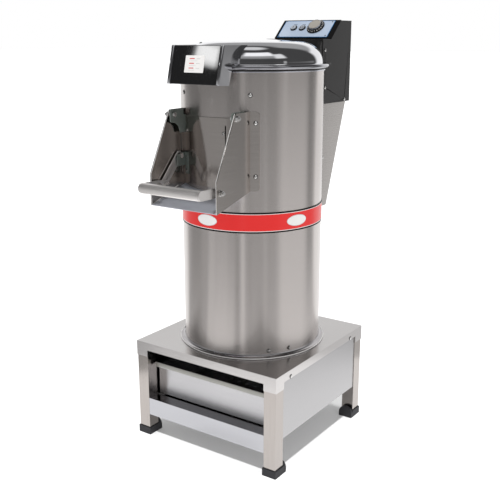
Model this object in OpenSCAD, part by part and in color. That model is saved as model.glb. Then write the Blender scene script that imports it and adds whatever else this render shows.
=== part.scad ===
// Floor-standing electric potato peeler: a stainless drum on a square stand, with an abrasive disc driven by a
// belt, a discharge chute with a linked door and lifting handle, a domed lid, a control box and a peel drawer.
// Origin on the floor under the middle of the whole machine, +Z up, the chute faces -Y, the control box is
// behind at +Y. Every module is drawn about the drum's axis, and from_axis() moves it to the origin.

/* [Stand] */
// Width and depth of the square table
stand_w = 490; // [440:1:600]
// Height of the table top above the floor
table_z = 295; // [280:1:400]
// Side of the square leg tube
leg_w = 38; // [30:1:45]
// Wall of the leg tube
leg_wall = 1.5; // [1:0.1:3]
// Sheet metal thickness of the table, panels and rail
sheet = 1.5; // [1:0.1:2]
// Depth of the table's folded skirt
skirt_h = 24; // [16:1:34]
// Depth of the folded corners over the legs
ear_h = 44; // [36:1:60]
// Width of the folded corners over the legs
ear_w = 40; // [34:1:50]
// Lower edge of the side and rear panels above the floor
panel_z = 103; // [80:1:110]
// Lower edge of the front rail above the floor
rail_z = 66; // [50:1:75]
// Height of the front rail
rail_h = 53; // [35:1:53]

/* [Feet] */
// Height of a foot's socket
foot_h = 22; // [16:1:30]
// Thickness of a foot's sole under the leg
foot_sole = 6; // [4:1:10]
// Wall of a foot's socket around the leg
foot_wall = 3; // [2:0.5:5]
// Height of the rounded tab behind the leg
foot_tab_h = 35; // [26:1:45]
// Thickness of the rounded tab behind the leg
foot_tab_w = 10; // [6:1:14]

/* [Drum] */
// Outer diameter of the drum
drum_d = 400; // [380:1:420]
// Wall of the drum
drum_wall = 2; // [1.5:0.1:3]
// Height of the drum's rim above the floor
rim_z = 1077; // [1060:1:1120]
// Lower edge of the coloured band
band_z = 657; // [620:1:665]
// Width of the coloured band
band_w = 48; // [30:1:55]
// Thickness of the coloured band
band_t = 1.2; // [0.6:0.1:2]
// Thickness of the abrasive liner
liner_t = 6; // [4:0.5:10]

/* [Chute] */
// Width over the chute's side plates
chute_w = 220; // [200:1:230]
// Thickness of the side plates and chute floor
chute_t = 2; // [1.5:0.1:3]
// Distance from the drum's axis to the chute's front edge
chute_reach = 314.5; // [300:0.5:330]
// Front lower corner of the side plates above the floor
chute_low_z = 729.5; // [715:0.5:735]
// Where the side plates meet the drum at the bottom
chute_root_z = 767.5; // [755:0.5:772]
// Where the front edge starts to slope back
chute_knee_z = 813; // [800:1:830]
// Top of the side plates
chute_top_z = 975; // [970:1:990]
// Front end of the side plates' top edge
chute_top_reach = 234; // [228:1:250]

/* [Door] */
// Lower edge of the door
door_low_z = 772; // [766:1:776]
// Upper edge of the door
door_top_z = 958; // [940:1:962]
// Thickness of the curved door
door_t = 2; // [1.5:0.1:3]
// Overlap of the door over the opening on each edge
door_lap = 8; // [5:0.5:12]
// Thickness of the straps, lugs and hinge plates
strap_t = 3; // [2:0.5:4]
// Radius of the pivot bolts
bolt_r = 4; // [3:0.5:5]
// Radial clearance of a running pivot
run_gap = 0.05; // [0.02:0.01:0.1]
// Extra radius of the hole at the strap's open pivot
slack = 2.8; // [2.5:0.1:3.5]
// Diameter of the lifting handle's tube
bar_d = 28; // [22:1:32]

/* [Lid] */
// Height of the dome above the lid's flange
dome_h = 64; // [50:1:70]
// Radius of the dome at the flange
dome_r = 196; // [190:1:196]
// Outer radius of the lid's rolled flange
flange_r = 212; // [208:1:216]
// Thickness of the lid's rolled flange
flange_h = 12; // [8:0.5:14]
// Thickness of the lid's sheet
lid_t = 1.5; // [1:0.1:2]
// Half width of the lid's rear tongue
tongue_x = 140; // [110:1:150]
// Half width of the lid handle's black plate
grip_x = 74; // [60:1:90]
// Width of the handle cheeks' front edges
grip_edge = 10; // [6:1:14]

/* [Control box] */
// Half width of the control box
box_x = 99; // [90:1:104]
// Front face of the control box from the drum's axis
box_front = 220; // [218:1:240]
// Rear face of the control box from the drum's axis
box_rear = 391; // [370:1:400]
// Underside of the control box
box_low_z = 968; // [950:1:980]
// Height of the ledge in front of the sloping fascia
box_ledge_z = 1155.5; // [1150:0.5:1165]
// Top of the control box
box_top_z = 1209; // [1200:1:1230]
// Where the sloping fascia starts
fascia_y0 = 268; // [255:1:280]
// Where the sloping fascia ends
fascia_y1 = 327; // [315:1:340]
// Diameter of the timer knob's skirt
knob_d = 57; // [45:1:60]
// Diameter of the push buttons
button_d = 16; // [12:1:18]
// Travel of the push buttons
button_travel = 3; // [2:0.5:4]

/* [Drive] */
// Diameter of the abrasive disc
disc_d = 370; // [340:1:375]
// Underside of the abrasive disc
disc_z = 740; // [735:1:745]
// Pitch radius of the large pulley
pulley_r = 86; // [70:1:90]
// Pitch radius of the motor pulley
pinion_r = 26; // [22:1:30]
// Distance between the shafts
shaft_gap = 128; // [120:1:130]
// Radius of the disc's shaft
shaft_r = 15; // [12:1:18]
// Radius of the motor's body
motor_r = 62; // [50:1:62]

/* [Drawer] */
// Half width of the drawer
drawer_x = 200; // [170:1:203]
// Height of the drawer's front
drawer_h = 94; // [60:1:100]
// Depth of the drawer from front to back
drawer_d = 390; // [300:1:395]

/* [Hidden] */

$fn = 96;
seam = 0.01;
gap = 0.3;
steel = [0.72, 0.71, 0.70];
polished = [0.82, 0.82, 0.84];
black = [0.10, 0.10, 0.11];

half = stand_w / 2;
leg_out = half - sheet;
leg_in = leg_out - leg_w;
under_table = table_z - sheet;
panel_out = leg_out - 2;
panel_in = panel_out - 1;
hem_w = 15;

drum_r = drum_d / 2;
bore_r = drum_r - drum_wall;
liner_r = bore_r - gap - liner_t;
band_r = drum_r + band_t;
// places of screws round the drum: [angle, height]
rim_screws = [for (a = [-57, -123, 151, 90]) [a, rim_z - 60]];
base_screws = [for (a = [-42, -24, -145, 40, 140]) [a, table_z + 20]];
chute_screws = [for (a = [-53, -127]) for (z = [chute_root_z + 39, chute_top_z - 29]) [a, z]];
// screws in the sides of the control box, the duct and the table's skirt: [y, z]
box_side_screws = [[233, 1123.5], [236, 1015.4], [359, 974.5]];
duct_side_screws = [[240, 806]];
skirt_screws = [[-171, table_z - 19], [170, table_z - 19]];
box_wall = 1.5;
duct_x = box_x - 5;
screw_r = 2.5;
screw_head_r = 4.6;
screw_head_h = 3;

plate_x = chute_w / 2;
plate_in = plate_x - chute_t;
flange_a = 6;
chute_fall = (chute_root_z - chute_low_z) / (chute_reach - drum_r * cos(asin(plate_x / drum_r)));
opening_x = plate_in - 2 - door_lap;
opening_low = door_low_z + door_lap;
opening_top = door_top_z - door_lap;

// door linkage in the side view, as [y, z]
door_pivot = [-230, 962];
handle_pivot = [-299, 782.4];
crank_pin = [-268.2, 780.8];
door_pin = [-202.5, 849.9];
bar_at = [-361, 784];
door_x = plate_in - 1.5;
door_r = drum_r + gap;
hinge_out = plate_in - 9;
hinge_out_right = door_x - door_t;
door_return = 16;
strap_out = plate_in - 4;
strap_in = strap_out - strap_t;
arm_out = strap_in - 2;
arm_in = arm_out - 4;
eye_r = 12.5;

flange_z = rim_z + 3;
dome_z = flange_z + flange_h;
hinge_at = [210, dome_z + 20];
ear_r = 8.5;
ear_x = 74;
bracket_x = 86;
pin_r = 4;
grip_low = [-266, 1044];
grip_high = [-242, 1141];
grip_angle = atan2(grip_high[0] - grip_low[0], grip_high[1] - grip_low[1]);
grip_len = norm(grip_high - grip_low);

fascia_a = atan2(box_top_z - box_ledge_z, fascia_y1 - fascia_y0);
fascia_len = norm([fascia_y1 - fascia_y0, box_top_z - box_ledge_z]);
fascia_t = 2.5;
panel_t = 1;
face_z = fascia_t + panel_t;
knob_at = [26, 48];
start_at = [-49, 43];
stop_at = [-19, 43];
panel_from = -91;
panel_to = 83;

floor_z = disc_z - 52;
housing_z = floor_z - 92;
pulley_z = housing_z - 40;
pulley_h = 26;
belt_w = 13;
belt_h = 9;
motor_plate_z = pulley_z - 14;
motor_at = [0, -shaft_gap];
pipe_r = 30;
pipe_at = [0, 155];
basin_low = panel_z - 15;
drawer_z = rail_z + rail_h + 3;
drawer_front = -leg_in + 5.5;
drain_r = 20;
drain_at = [0, 150];

cover_screw = 2;
cover_t = 1.5;
middle_y = (box_rear + cover_t + cover_screw + bar_at[0] - bar_d / 2) / 2;

function polar(r, a) = [r * cos(a), r * sin(a)];
// straight-sided outline round two circles, as the four tangent points
function tangents(p1, r1, p2, r2) =
    let (d = norm(p2 - p1), a = atan2(p2[1] - p1[1], p2[0] - p1[0]), b = acos((r1 - r2) / d))
    [p1 + polar(r1, a + b), p1 + polar(r1, a - b), p2 + polar(r2, a - b), p2 + polar(r2, a + b)];

module from_axis() { translate([0, -middle_y, 0]) children(); }
module span(low, high) { translate(low) cube(high - low); }
module ring(r_out, r_in, low, high) {
    difference() {
        translate([0, 0, low]) cylinder(r = r_out, h = high - low);
        translate([0, 0, low - 1]) cylinder(r = r_in, h = high - low + 2);
    }
}
module strap(p1, r1, p2, r2) {
    translate(p1) circle(r = r1);
    translate(p2) circle(r = r2);
    polygon(tangents(p1, r1, p2, r2));
}
// extrudes a [y, z] outline from x0 to x1
module across(x0, x1) { translate([x0, 0, 0]) rotate([90, 0, 90]) linear_extrude(x1 - x0) children(); }
module both_sides() {
    children();
    mirror([1, 0, 0]) children();
}
module corners() { for (i = [0, 1]) for (j = [0, 1]) mirror([i, 0, 0]) mirror([0, j, 0]) children(); }
// a round bar along X through a [y, z] point
module bar_x(at, r, x0, x1) { translate([x0, at[0], at[1]]) rotate([0, 90, 0]) cylinder(r = r, h = x1 - x0); }
module hex_x(at, r, x0, x1) { translate([x0, at[0], at[1]]) rotate([0, 90, 0]) cylinder(r = r, h = x1 - x0, $fn = 6); }
module radial(a, z) { rotate([0, 0, a]) translate([0, 0, z]) rotate([0, 90, 0]) children(); }
module screw(seat, depth) {
    translate([0, 0, seat - depth]) cylinder(r = screw_r, h = depth + seam, $fn = 24);
    translate([0, 0, seat]) cylinder(r = screw_head_r, h = screw_head_h / 2, $fn = 32);
    translate([0, 0, seat + screw_head_h / 2]) cylinder(r1 = screw_head_r, r2 = screw_head_r / 2, h = screw_head_h / 2, $fn = 32);
}
module screw_holes(places, depth) {
    for (p = places) radial(p[0], p[1]) translate([0, 0, drum_r - depth]) cylinder(r = screw_r, h = 2 * depth, $fn = 24);
}
module side_holes(places, x, depth) {
    both_sides() for (p = places) bar_x(p, screw_r, x - depth - 1, x + 1);
}
// puts what is drawn on the sloping fascia: x across, y up the slope, z out of it
module on_fascia() { translate([0, fascia_y0, box_ledge_z]) rotate([fascia_a, 0, 0]) children(); }

// ---- stand ----
module table_top() {
    from_axis() color(steel) difference() {
        union() {
            span([-half, -half, table_z - skirt_h], [half, half, table_z]);
            corners() span([half - ear_w, half - ear_w, table_z - ear_h], [half, half, table_z]);
        }
        span([-leg_out, -leg_out, table_z - ear_h - 1], [leg_out, leg_out, under_table]);
        side_holes(skirt_screws, half, sheet);
        translate([pipe_at[0], pipe_at[1], table_z - 2 * sheet]) cylinder(r = pipe_r, h = 4 * sheet);
    }
}
module legs() {
    from_axis() color(steel) corners() difference() {
        span([leg_in, leg_in, foot_sole], [leg_out, leg_out, under_table]);
        span([leg_in + leg_wall, leg_in + leg_wall, foot_sole - 1],
            [leg_out - leg_wall, leg_out - leg_wall, under_table + 1]);
    }
}
module feet() {
    out = leg_out + foot_wall;
    in = leg_in - foot_wall;
    mid = (out + in) / 2;
    lip = 3;
    from_axis() color([0.20, 0.20, 0.22]) corners() difference() {
        union() {
            span([in, in, 0], [out, out, foot_h - lip]);
            translate([0, 0, foot_h - lip]) linear_extrude(lip, scale = 1) translate([in, in]) square(out - in);
            translate([mid, in + seam, 0]) rotate([90, 0, 0]) linear_extrude(foot_tab_w) {
                translate([-(out - in) / 2, 0]) square([out - in, foot_h / 2]);
                intersection() {
                    translate([0, foot_tab_h - (out - in) / 2]) circle(d = out - in);
                    translate([-(out - in) / 2, 0]) square([out - in, foot_tab_h]);
                }
            }
        }
        span([leg_in, leg_in, foot_sole], [leg_out, leg_out, foot_h + 1]);
    }
}
module front_rail() {
    back = -leg_in;
    from_axis() color(steel) difference() {
        span([-leg_in, -leg_out, rail_z], [leg_in, back, rail_z + rail_h]);
        span([-leg_in - 1, -leg_out + sheet, rail_z - 1], [leg_in + 1, back - sheet, rail_z + rail_h - sheet]);
    }
}
module side_panels() {
    from_axis() color(steel) both_sides() {
        span([panel_in, -leg_in, panel_z], [panel_out, leg_in, under_table]);
        span([panel_in - hem_w, -leg_in, panel_z], [panel_in + seam, leg_in, panel_z + 1]);
    }
}
module rear_panel() {
    from_axis() color(steel) {
        span([-leg_in, panel_in, panel_z], [leg_in, panel_out, under_table]);
        span([-leg_in, panel_in - hem_w, panel_z], [leg_in, panel_in + seam, panel_z + 1]);
    }
}
module drawer_runners() {
    shelf = drawer_z - gap;
    from_axis() color(steel) both_sides() {
        span([drawer_x - 22, -leg_in, shelf - 2], [panel_in, leg_in, shelf]);
        span([panel_in - 2, -leg_in, shelf - seam], [panel_in, leg_in, shelf + 28]);
    }
}
module waste_basin() {
    x1 = leg_in - 1.5;
    rim = panel_z + 1;
    from_axis() color(steel) difference() {
        union() {
            span([-x1, -x1, basin_low], [x1, x1, rim + sheet]);
            span([-panel_in, -x1, rim], [panel_in, x1, rim + sheet]);
        }
        span([-x1 + sheet, -x1 + sheet, basin_low + sheet], [x1 - sheet, x1 - sheet, rim + 2 * sheet]);
        translate([drain_at[0], drain_at[1], basin_low - 1]) cylinder(r = drain_r - 2, h = 10);
    }
}
module drain_outlet() {
    from_axis() color(steel) translate([drain_at[0], drain_at[1], 0]) {
        ring(drain_r, drain_r - 2, basin_low - 40, basin_low);
        ring(drain_r + 8, drain_r - 2, basin_low - 3, basin_low);
    }
}

// ---- drawer ----
module drawer() {
    wall = 1.2;
    ledge = 14;
    back = drawer_front + drawer_d;
    top = drawer_z + drawer_h;
    from_axis() color(steel) {
        difference() {
            span([-drawer_x, drawer_front, drawer_z], [drawer_x, back, top]);
            span([-drawer_x + wall, drawer_front + wall, drawer_z + wall], [drawer_x - wall, back - wall, top + 1]);
            span([-drawer_x + ledge, drawer_front + ledge, drawer_z - 1], [drawer_x - ledge, back - ledge, top]);
        }
        // upturned lip to pull the drawer by
        span([-drawer_x + 4, drawer_front - 20, top - wall], [drawer_x - 4, drawer_front + seam, top]);
        span([-drawer_x + 4, drawer_front - 20, top - wall], [drawer_x - 4, drawer_front - 20 + wall, top + 14]);
        span([-drawer_x + 4, drawer_front - 20, top + 8], [drawer_x - 4, drawer_front - 20 + 2 * wall, top + 14]);
    }
}
module drawer_strainer() {
    inset = 1.5;
    low = drawer_z + 1.2;
    columns = 12;
    rows = 11;
    pitch = 30;
    from_axis() color(polished) translate([0, drawer_front + drawer_d / 2, 0]) difference() {
        span([-drawer_x + inset, -drawer_d / 2 + inset, low], [drawer_x - inset, drawer_d / 2 - inset, low + 1.5]);
        for (i = [0:columns - 1]) for (j = [0:rows - 1])
            translate([(i - (columns - 1) / 2) * pitch, (j - (rows - 1) / 2) * pitch, low - 1])
                cylinder(d = 14, h = 4, $fn = 24);
    }
}

// ---- drum ----
module drum_shell() {
    from_axis() color(steel) difference() {
        ring(drum_r, bore_r, table_z, rim_z - 4);
        span([-opening_x, -drum_r - 1, opening_low], [opening_x, 0, opening_top]);
        screw_holes(rim_screws, 8);
        screw_holes(base_screws, 8);
        screw_holes(chute_screws, 8);
        radial(135, inlet_z) cylinder(r = inlet_r, h = drum_r + 5);
    }
}
module base_ring() {
    w = 14.5;
    from_axis() color(polished) rotate_extrude($fn = 128) translate([drum_r, table_z]) polygon([[0, 0], [w, 0], [w, 2.2],
        [w - 0.8, 3], [9, 3.6], [5.6, 4.8], [3.2, 6.4], [1.6, 8.4], [0.9, 11], [0, 11]]);
}
module colour_band() { from_axis() color([0.85, 0.16, 0.15]) ring(band_r, drum_r, band_z, band_z + band_w); }
module band_trims() {
    trim = 2.5;
    from_axis() color(black) for (z = [band_z - trim, band_z + band_w]) ring(band_r + 0.2, drum_r, z, z + trim);
}
module drum_rim() {
    from_axis() color(polished) difference() {
        ring(drum_r + 3, bore_r, rim_z - 4, rim_z);
        translate([0, 0, rim_z - 1]) ring(drum_r + 5, drum_r + 2, 0, 2);
    }
}
module chamber_floor() {
    from_axis() color(steel) difference() {
        translate([0, 0, floor_z]) cylinder(r = bore_r, h = 3);
        translate([0, 0, floor_z - 1]) cylinder(r = seal_r, h = 5);
        translate([pipe_at[0], pipe_at[1], floor_z - 1]) cylinder(r = pipe_r - 2, h = 5);
    }
}
module abrasive_liner() {
    from_axis() color([0.35, 0.33, 0.31]) difference() {
        ring(bore_r - gap, liner_r, floor_z + 3, rim_z - 80);
        span([-opening_x, -drum_r, opening_low], [opening_x, 0, opening_top]);
    }
}
module peel_pipe() {
    from_axis() color(steel) translate([pipe_at[0], pipe_at[1], 0]) {
        ring(pipe_r, pipe_r - 2, under_table - 10, floor_z);
        ring(pipe_r + 8, pipe_r - 2, floor_z - 3, floor_z);
    }
}

// ---- drive ----
seal_r = 30;
bearing_r = 31;
bearing_h = 16;
module abrasive_disc() {
    from_axis() color([0.40, 0.38, 0.35]) difference() {
        union() {
            translate([0, 0, disc_z]) cylinder(d = disc_d, h = 10);
            translate([0, 0, disc_z - 12]) cylinder(r = 34, h = 13);
            // three rounded waves that tumble the load
            intersection() {
                for (a = [0:120:359]) rotate([0, 0, a]) translate([30, 0, disc_z + 4]) rotate([0, 90, 0])
                    cylinder(r1 = 10, r2 = 20, h = disc_d / 2 - 38);
                translate([0, 0, disc_z]) cylinder(d = disc_d - 6, h = 40);
            }
        }
        translate([0, 0, disc_z - 20]) cylinder(r = shaft_r, h = 50);
    }
}
module peel_wipers() {
    from_axis() color(steel) for (a = [30, 210]) rotate([0, 0, a])
        span([44, -1.5, floor_z + 6], [disc_d / 2 - 4, 1.5, disc_z]);
}
module drive_shaft() {
    from_axis() color(polished) {
        translate([0, 0, pulley_z - 6]) cylinder(r = shaft_r, h = disc_z + 22 - pulley_z + 6);
    }
}
module disc_nut() {
    from_axis() color(polished) {
        translate([0, 0, disc_z + 10]) difference() {
            union() {
                cylinder(r = 24, h = 3);
                cylinder(r = 20, h = 16, $fn = 6);
            }
            translate([0, 0, -1]) cylinder(r = shaft_r, h = 13);
        }
    }
}
module bearing_housing() {
    from_axis() color([0.45, 0.46, 0.48]) difference() {
        union() {
            translate([0, 0, floor_z - 8]) cylinder(r = 62, h = 8);
            translate([0, 0, housing_z]) cylinder(r = 40, h = floor_z - housing_z - 1);
        }
        translate([0, 0, housing_z - 1]) cylinder(r = shaft_r + 4, h = 200);
        translate([0, 0, housing_z - 1]) cylinder(r = bearing_r, h = bearing_h + 1);
        translate([0, 0, floor_z - 10 - bearing_h]) cylinder(r = bearing_r, h = bearing_h + 20);
    }
}
module shaft_bearings() {
    from_axis() color(polished) for (z = [housing_z, floor_z - 10 - bearing_h])
        translate([0, 0, z]) ring(bearing_r, shaft_r + run_gap, 0, bearing_h);
}
module shaft_seal() {
    from_axis() color(black) difference() {
        union() {
            ring(seal_r, shaft_r + run_gap, floor_z - 10, floor_z + 3);
            ring(seal_r + 6, shaft_r + run_gap, floor_z + 3, floor_z + 7);
        }
    }
}
module grooved_pulley(pitch, bore) {
    rim = pitch + belt_h / 2;
    rotate_extrude() difference() {
        translate([bore, 0]) square([rim - bore, pulley_h]);
        translate([pitch - belt_h / 2, (pulley_h - belt_w) / 2 - 0.5]) square([2 * belt_h, belt_w + 1]);
    }
}
module large_pulley() {
    from_axis() color([0.40, 0.41, 0.43]) translate([0, 0, pulley_z]) difference() {
        grooved_pulley(pulley_r, shaft_r);
        for (a = [0:60:359]) rotate([0, 0, a]) translate([pulley_r * 0.55, 0, -1]) cylinder(r = 14, h = pulley_h + 2);
    }
}
module drive_belt() {
    in_gap = 0.4;
    z0 = pulley_z + (pulley_h - belt_w) / 2;
    from_axis() color(black) translate([0, 0, z0]) linear_extrude(belt_w) difference() {
        strap([0, 0], pulley_r + belt_h / 2, motor_at, pinion_r + belt_h / 2);
        strap([0, 0], pulley_r - belt_h / 2 + in_gap, motor_at, pinion_r - belt_h / 2 + in_gap);
    }
}
motor_shaft_r = 9.5;
motor_h = 180;
motor_low = motor_plate_z - motor_h;
module motor_pulley() {
    from_axis() color([0.40, 0.41, 0.43]) translate([motor_at[0], motor_at[1], pulley_z]) grooved_pulley(pinion_r, motor_shaft_r);
}
module motor_shaft() {
    from_axis() color(polished) translate([motor_at[0], motor_at[1], motor_plate_z - 50])
        cylinder(r = motor_shaft_r, h = pulley_z + pulley_h + 4 - motor_plate_z + 50);
}
module motor() {
    from_axis() color([0.25, 0.30, 0.36]) translate([motor_at[0], motor_at[1], motor_low]) difference() {
        union() {
            cylinder(r = motor_r - 4, h = 34);
            translate([0, 0, 33]) cylinder(r = motor_r - 6, h = motor_h - 44);
            for (a = [0:15:359]) rotate([0, 0, a]) span([motor_r - 8, -1.2, 40], [motor_r, 1.2, motor_h - 16]);
            translate([0, 0, motor_h - 12]) cylinder(r = motor_r, h = 12);
            span([motor_r - 12, -28, 70], [motor_r + 20, 28, 130]);
        }
        translate([0, 0, motor_h - 51]) cylinder(r = motor_shaft_r + run_gap, h = 60);
    }
}
module motor_plate() {
    from_axis() color(steel) difference() {
        translate([0, 0, motor_plate_z]) cylinder(r = bore_r, h = 5);
        translate([motor_at[0], motor_at[1], motor_plate_z - 1]) cylinder(r = motor_shaft_r + 6, h = 7);
        translate([pipe_at[0], pipe_at[1], motor_plate_z - 1]) cylinder(r = pipe_r, h = 7);
        for (a = [45, 135, 225, 315]) rotate([0, 0, a]) translate([160, 0, motor_plate_z - 1]) cylinder(r = 14, h = 7);
    }
}

// ---- discharge chute and its door ----
module chute_sides() {
    from_axis() color(steel) both_sides() difference() {
        union() {
            across(plate_in, plate_x) polygon([[-drum_r + 60, chute_root_z], [-drum_r * cos(asin(plate_x / drum_r)), chute_root_z],
                [-chute_reach, chute_low_z], [-chute_reach, chute_knee_z], [-chute_top_reach - 3, chute_top_z - 8],
                [-chute_top_reach + 4, chute_top_z], [-drum_r + 60, chute_top_z]]);
            // curved flange screwed to the drum, with rounded outer corners
            intersection() {
                ring(drum_r + chute_t, drum_r, chute_root_z, chute_top_z);
                rotate([90, 0, 0]) linear_extrude(drum_r + 5) chute_flange_outline();
            }
        }
        cylinder(r = drum_r, h = rim_z);
        bar_x(door_pivot, bolt_r, 0, drum_r);
        bar_x(handle_pivot, bolt_r, 0, drum_r);
        screw_holes(chute_screws, 8);
    }
}
module chute_flange_outline() {
    w = 19;
    r = 8;
    x1 = plate_x + w;
    translate([plate_in, chute_root_z]) square([w + chute_t - r, chute_top_z - chute_root_z]);
    translate([plate_in, chute_root_z + r]) square([w + chute_t, chute_top_z - chute_root_z - 2 * r]);
    for (z = [chute_root_z + r, chute_top_z - r]) translate([x1 - r, z]) circle(r = r, $fn = 32);
}
module chute_floor() {
    root = -drum_r * cos(asin(plate_x / drum_r));
    rise = chute_t / cos(atan(chute_fall));
    back = -drum_r + 60;
    back_z = chute_root_z + (back - root) * chute_fall;
    from_axis() color(steel) difference() {
        across(-plate_in, plate_in) polygon([[-chute_reach, chute_low_z], [back, back_z], [back, back_z + rise],
            [-chute_reach, chute_low_z + rise]]);
        cylinder(r = drum_r, h = rim_z);
    }
}
module door_flange(x0, x1, z0, z1) {
    intersection() {
        ring(door_r + door_t + strap_t, door_r + door_t, z0, z1);
        span([x0, -drum_r - 20, z0], [x1, 0, z1]);
    }
}
door_screws = [for (a = [-77, -116.1]) [a, door_top_z - 40]];
lug_screws = [for (a = [-63.9, -116.1]) for (z = [door_low_z + 36, door_pin[1] - 4.5]) [a, z]];
lug_out = arm_in + 4;
module discharge_door() {
    from_axis() color(steel) difference() {
        intersection() {
            ring(door_r + door_t, door_r, door_low_z, door_top_z);
            span([-door_x, -drum_r - 10, door_low_z], [door_x, 0, door_top_z]);
        }
        screw_holes(concat(door_screws, lug_screws), 8);
    }
    // folded returns down both sides
    from_axis() color(steel) both_sides() difference() {
        root = -door_r * cos(asin(door_x / door_r));
        across(door_x - door_t, door_x) polygon([[root + 9, door_low_z + 22], [root + 9, door_top_z], [root - door_return, door_top_z],
            [root - door_return, door_low_z + 30], [root - door_return + 8, door_low_z + 22]]);
        cylinder(r = door_r + door_t / 2, h = rim_z);
    }
}
module door_hinge_plate(outer) {
    top = chute_top_z + 2;
    knee = door_pivot[1] - 20;
    foot = door_top_z - 46;
    across(outer - strap_t, outer) polygon([[-241.5, top - 5], [-241.5, knee + 2], [-239.5, knee], [-222, 939], [-214, 934],
        [-207.5, 928], [-203.5, 918], [-202, foot], [-150, foot], [-150, door_top_z - 2], [-187, door_top_z + 2],
        [-187, top], [-236.5, top]]);
}
module door_hinge_plates() {
    from_axis() color([0.42, 0.44, 0.42]) difference() {
        union() {
            door_hinge_plate(hinge_out_right);
            mirror([1, 0, 0]) door_hinge_plate(hinge_out);
        }
        cylinder(r = door_r + door_t, h = rim_z);
        bar_x(door_pivot, bolt_r + run_gap, -drum_r, drum_r);
    }
}
module door_lugs() {
    low = door_pin[1] - 28;
    high = door_pin[1] + 8.5;
    from_axis() color([0.42, 0.44, 0.42]) both_sides() difference() {
        union() {
            across(lug_out - strap_t, lug_out) polygon([[-150, low], [-150, high], [-193, high], [-215, high - 6.5],
                [-216.5, high - 8], [-216.5, low]]);
            door_flange(lug_out - 17, lug_out, door_low_z + 27, high - 1);
        }
        cylinder(r = door_r + door_t, h = rim_z);
        bar_x(door_pin, bolt_r, 0, drum_r);
        screw_holes(lug_screws, 12);
    }
}
module door_bolts() {
    from_axis() color(polished) both_sides() {
        bar_x(door_pin, bolt_r, arm_in - 5, strap_out + 2);
        hex_x(door_pin, 7.5, arm_in - 4, arm_in + 1);
        bar_x(door_pin, 9.5, strap_out + gap, strap_out + 2);
    }
    from_axis() color(polished) {
        for (p = door_screws) radial(p[0], p[1]) screw(door_r + door_t, door_t);
        for (p = lug_screws) radial(p[0], p[1]) screw(door_r + door_t + strap_t, strap_t + door_t);
    }
}
module door_straps() {
    from_axis() color(polished) both_sides() across(strap_in, strap_out) difference() {
        strap(crank_pin, eye_r, door_pin, eye_r);
        translate(crank_pin) circle(r = bolt_r + run_gap);
        translate(door_pin) circle(r = bolt_r + slack);
    }
}
module lifting_handle() {
    from_axis() color(steel) both_sides() across(arm_in, arm_out) difference() {
        union() {
            strap(bar_at, bar_d / 2 - 1, handle_pivot, eye_r);
            strap(handle_pivot, eye_r, crank_pin, eye_r - 1);
        }
        translate(handle_pivot) circle(r = bolt_r + run_gap);
        translate(crank_pin) circle(r = bolt_r);
    }
}
module handle_bar() {
    from_axis() color(polished) translate([-arm_in, bar_at[0], bar_at[1]]) rotate([0, 90, 0])
        ring(bar_d / 2, bar_d / 2 - 1.5, 0, 2 * arm_in);
}
module handle_bolts() {
    from_axis() color(polished) both_sides() {
        bar_x(crank_pin, bolt_r, arm_in - 5, strap_out + 2.5);
        hex_x(crank_pin, 7.5, arm_in - 5, arm_in);
        bar_x(crank_pin, 8.5, strap_out + gap, strap_out + 2.5);
    }
}
// the door's pivot: stud, washer and nut outside the chute, nut and spacer either side of the hinge plate
module door_pivot_bolt(outer) {
    bar_x(door_pivot, bolt_r, outer - strap_t - 8.5, plate_x + 12);
    bar_x(door_pivot, 8.5, plate_x, plate_x + 1.5);
    hex_x(door_pivot, 7.5, plate_x + 1.5 - seam, plate_x + 7.5);
    hex_x(door_pivot, 7.5, outer - strap_t - 6.3, outer - strap_t - gap);
    bar_x(door_pivot, 7.5, outer + gap, plate_in);
}
module chute_bolts() {
    from_axis() color(polished) door_pivot_bolt(hinge_out_right);
    from_axis() color(polished) mirror([1, 0, 0]) door_pivot_bolt(hinge_out);
    from_axis() color(polished) both_sides() {
        bar_x(handle_pivot, bolt_r, arm_in - 7, plate_x + 12);
        bar_x(handle_pivot, 8.5, plate_x, plate_x + 1.5);
        hex_x(handle_pivot, 7.5, plate_x + 1.5 - seam, plate_x + 7.5);
        hex_x(handle_pivot, 7.5, arm_in - 6, arm_in - gap);
        bar_x(handle_pivot, 7.5, arm_out + gap, plate_in);
    }
}
module case_screws() {
    from_axis() color(polished) {
        for (p = concat(rim_screws, base_screws)) radial(p[0], p[1]) screw(drum_r, drum_wall);
        for (p = chute_screws) radial(p[0], p[1]) screw(drum_r + chute_t, chute_t + drum_wall);
        both_sides() {
            for (p = box_side_screws) translate([0, p[0], p[1]]) rotate([0, 90, 0]) screw(box_x, box_wall);
            for (p = duct_side_screws) translate([0, p[0], p[1]]) rotate([0, 90, 0]) screw(duct_x, box_wall);
            for (p = skirt_screws) translate([0, p[0], p[1]]) rotate([0, 90, 0]) screw(half, sheet);
        }
    }
}

// ---- lid ----
crown_r = 144;
crown_rise = 6;
tongue_r = 9;
shoulder = 14;
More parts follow.
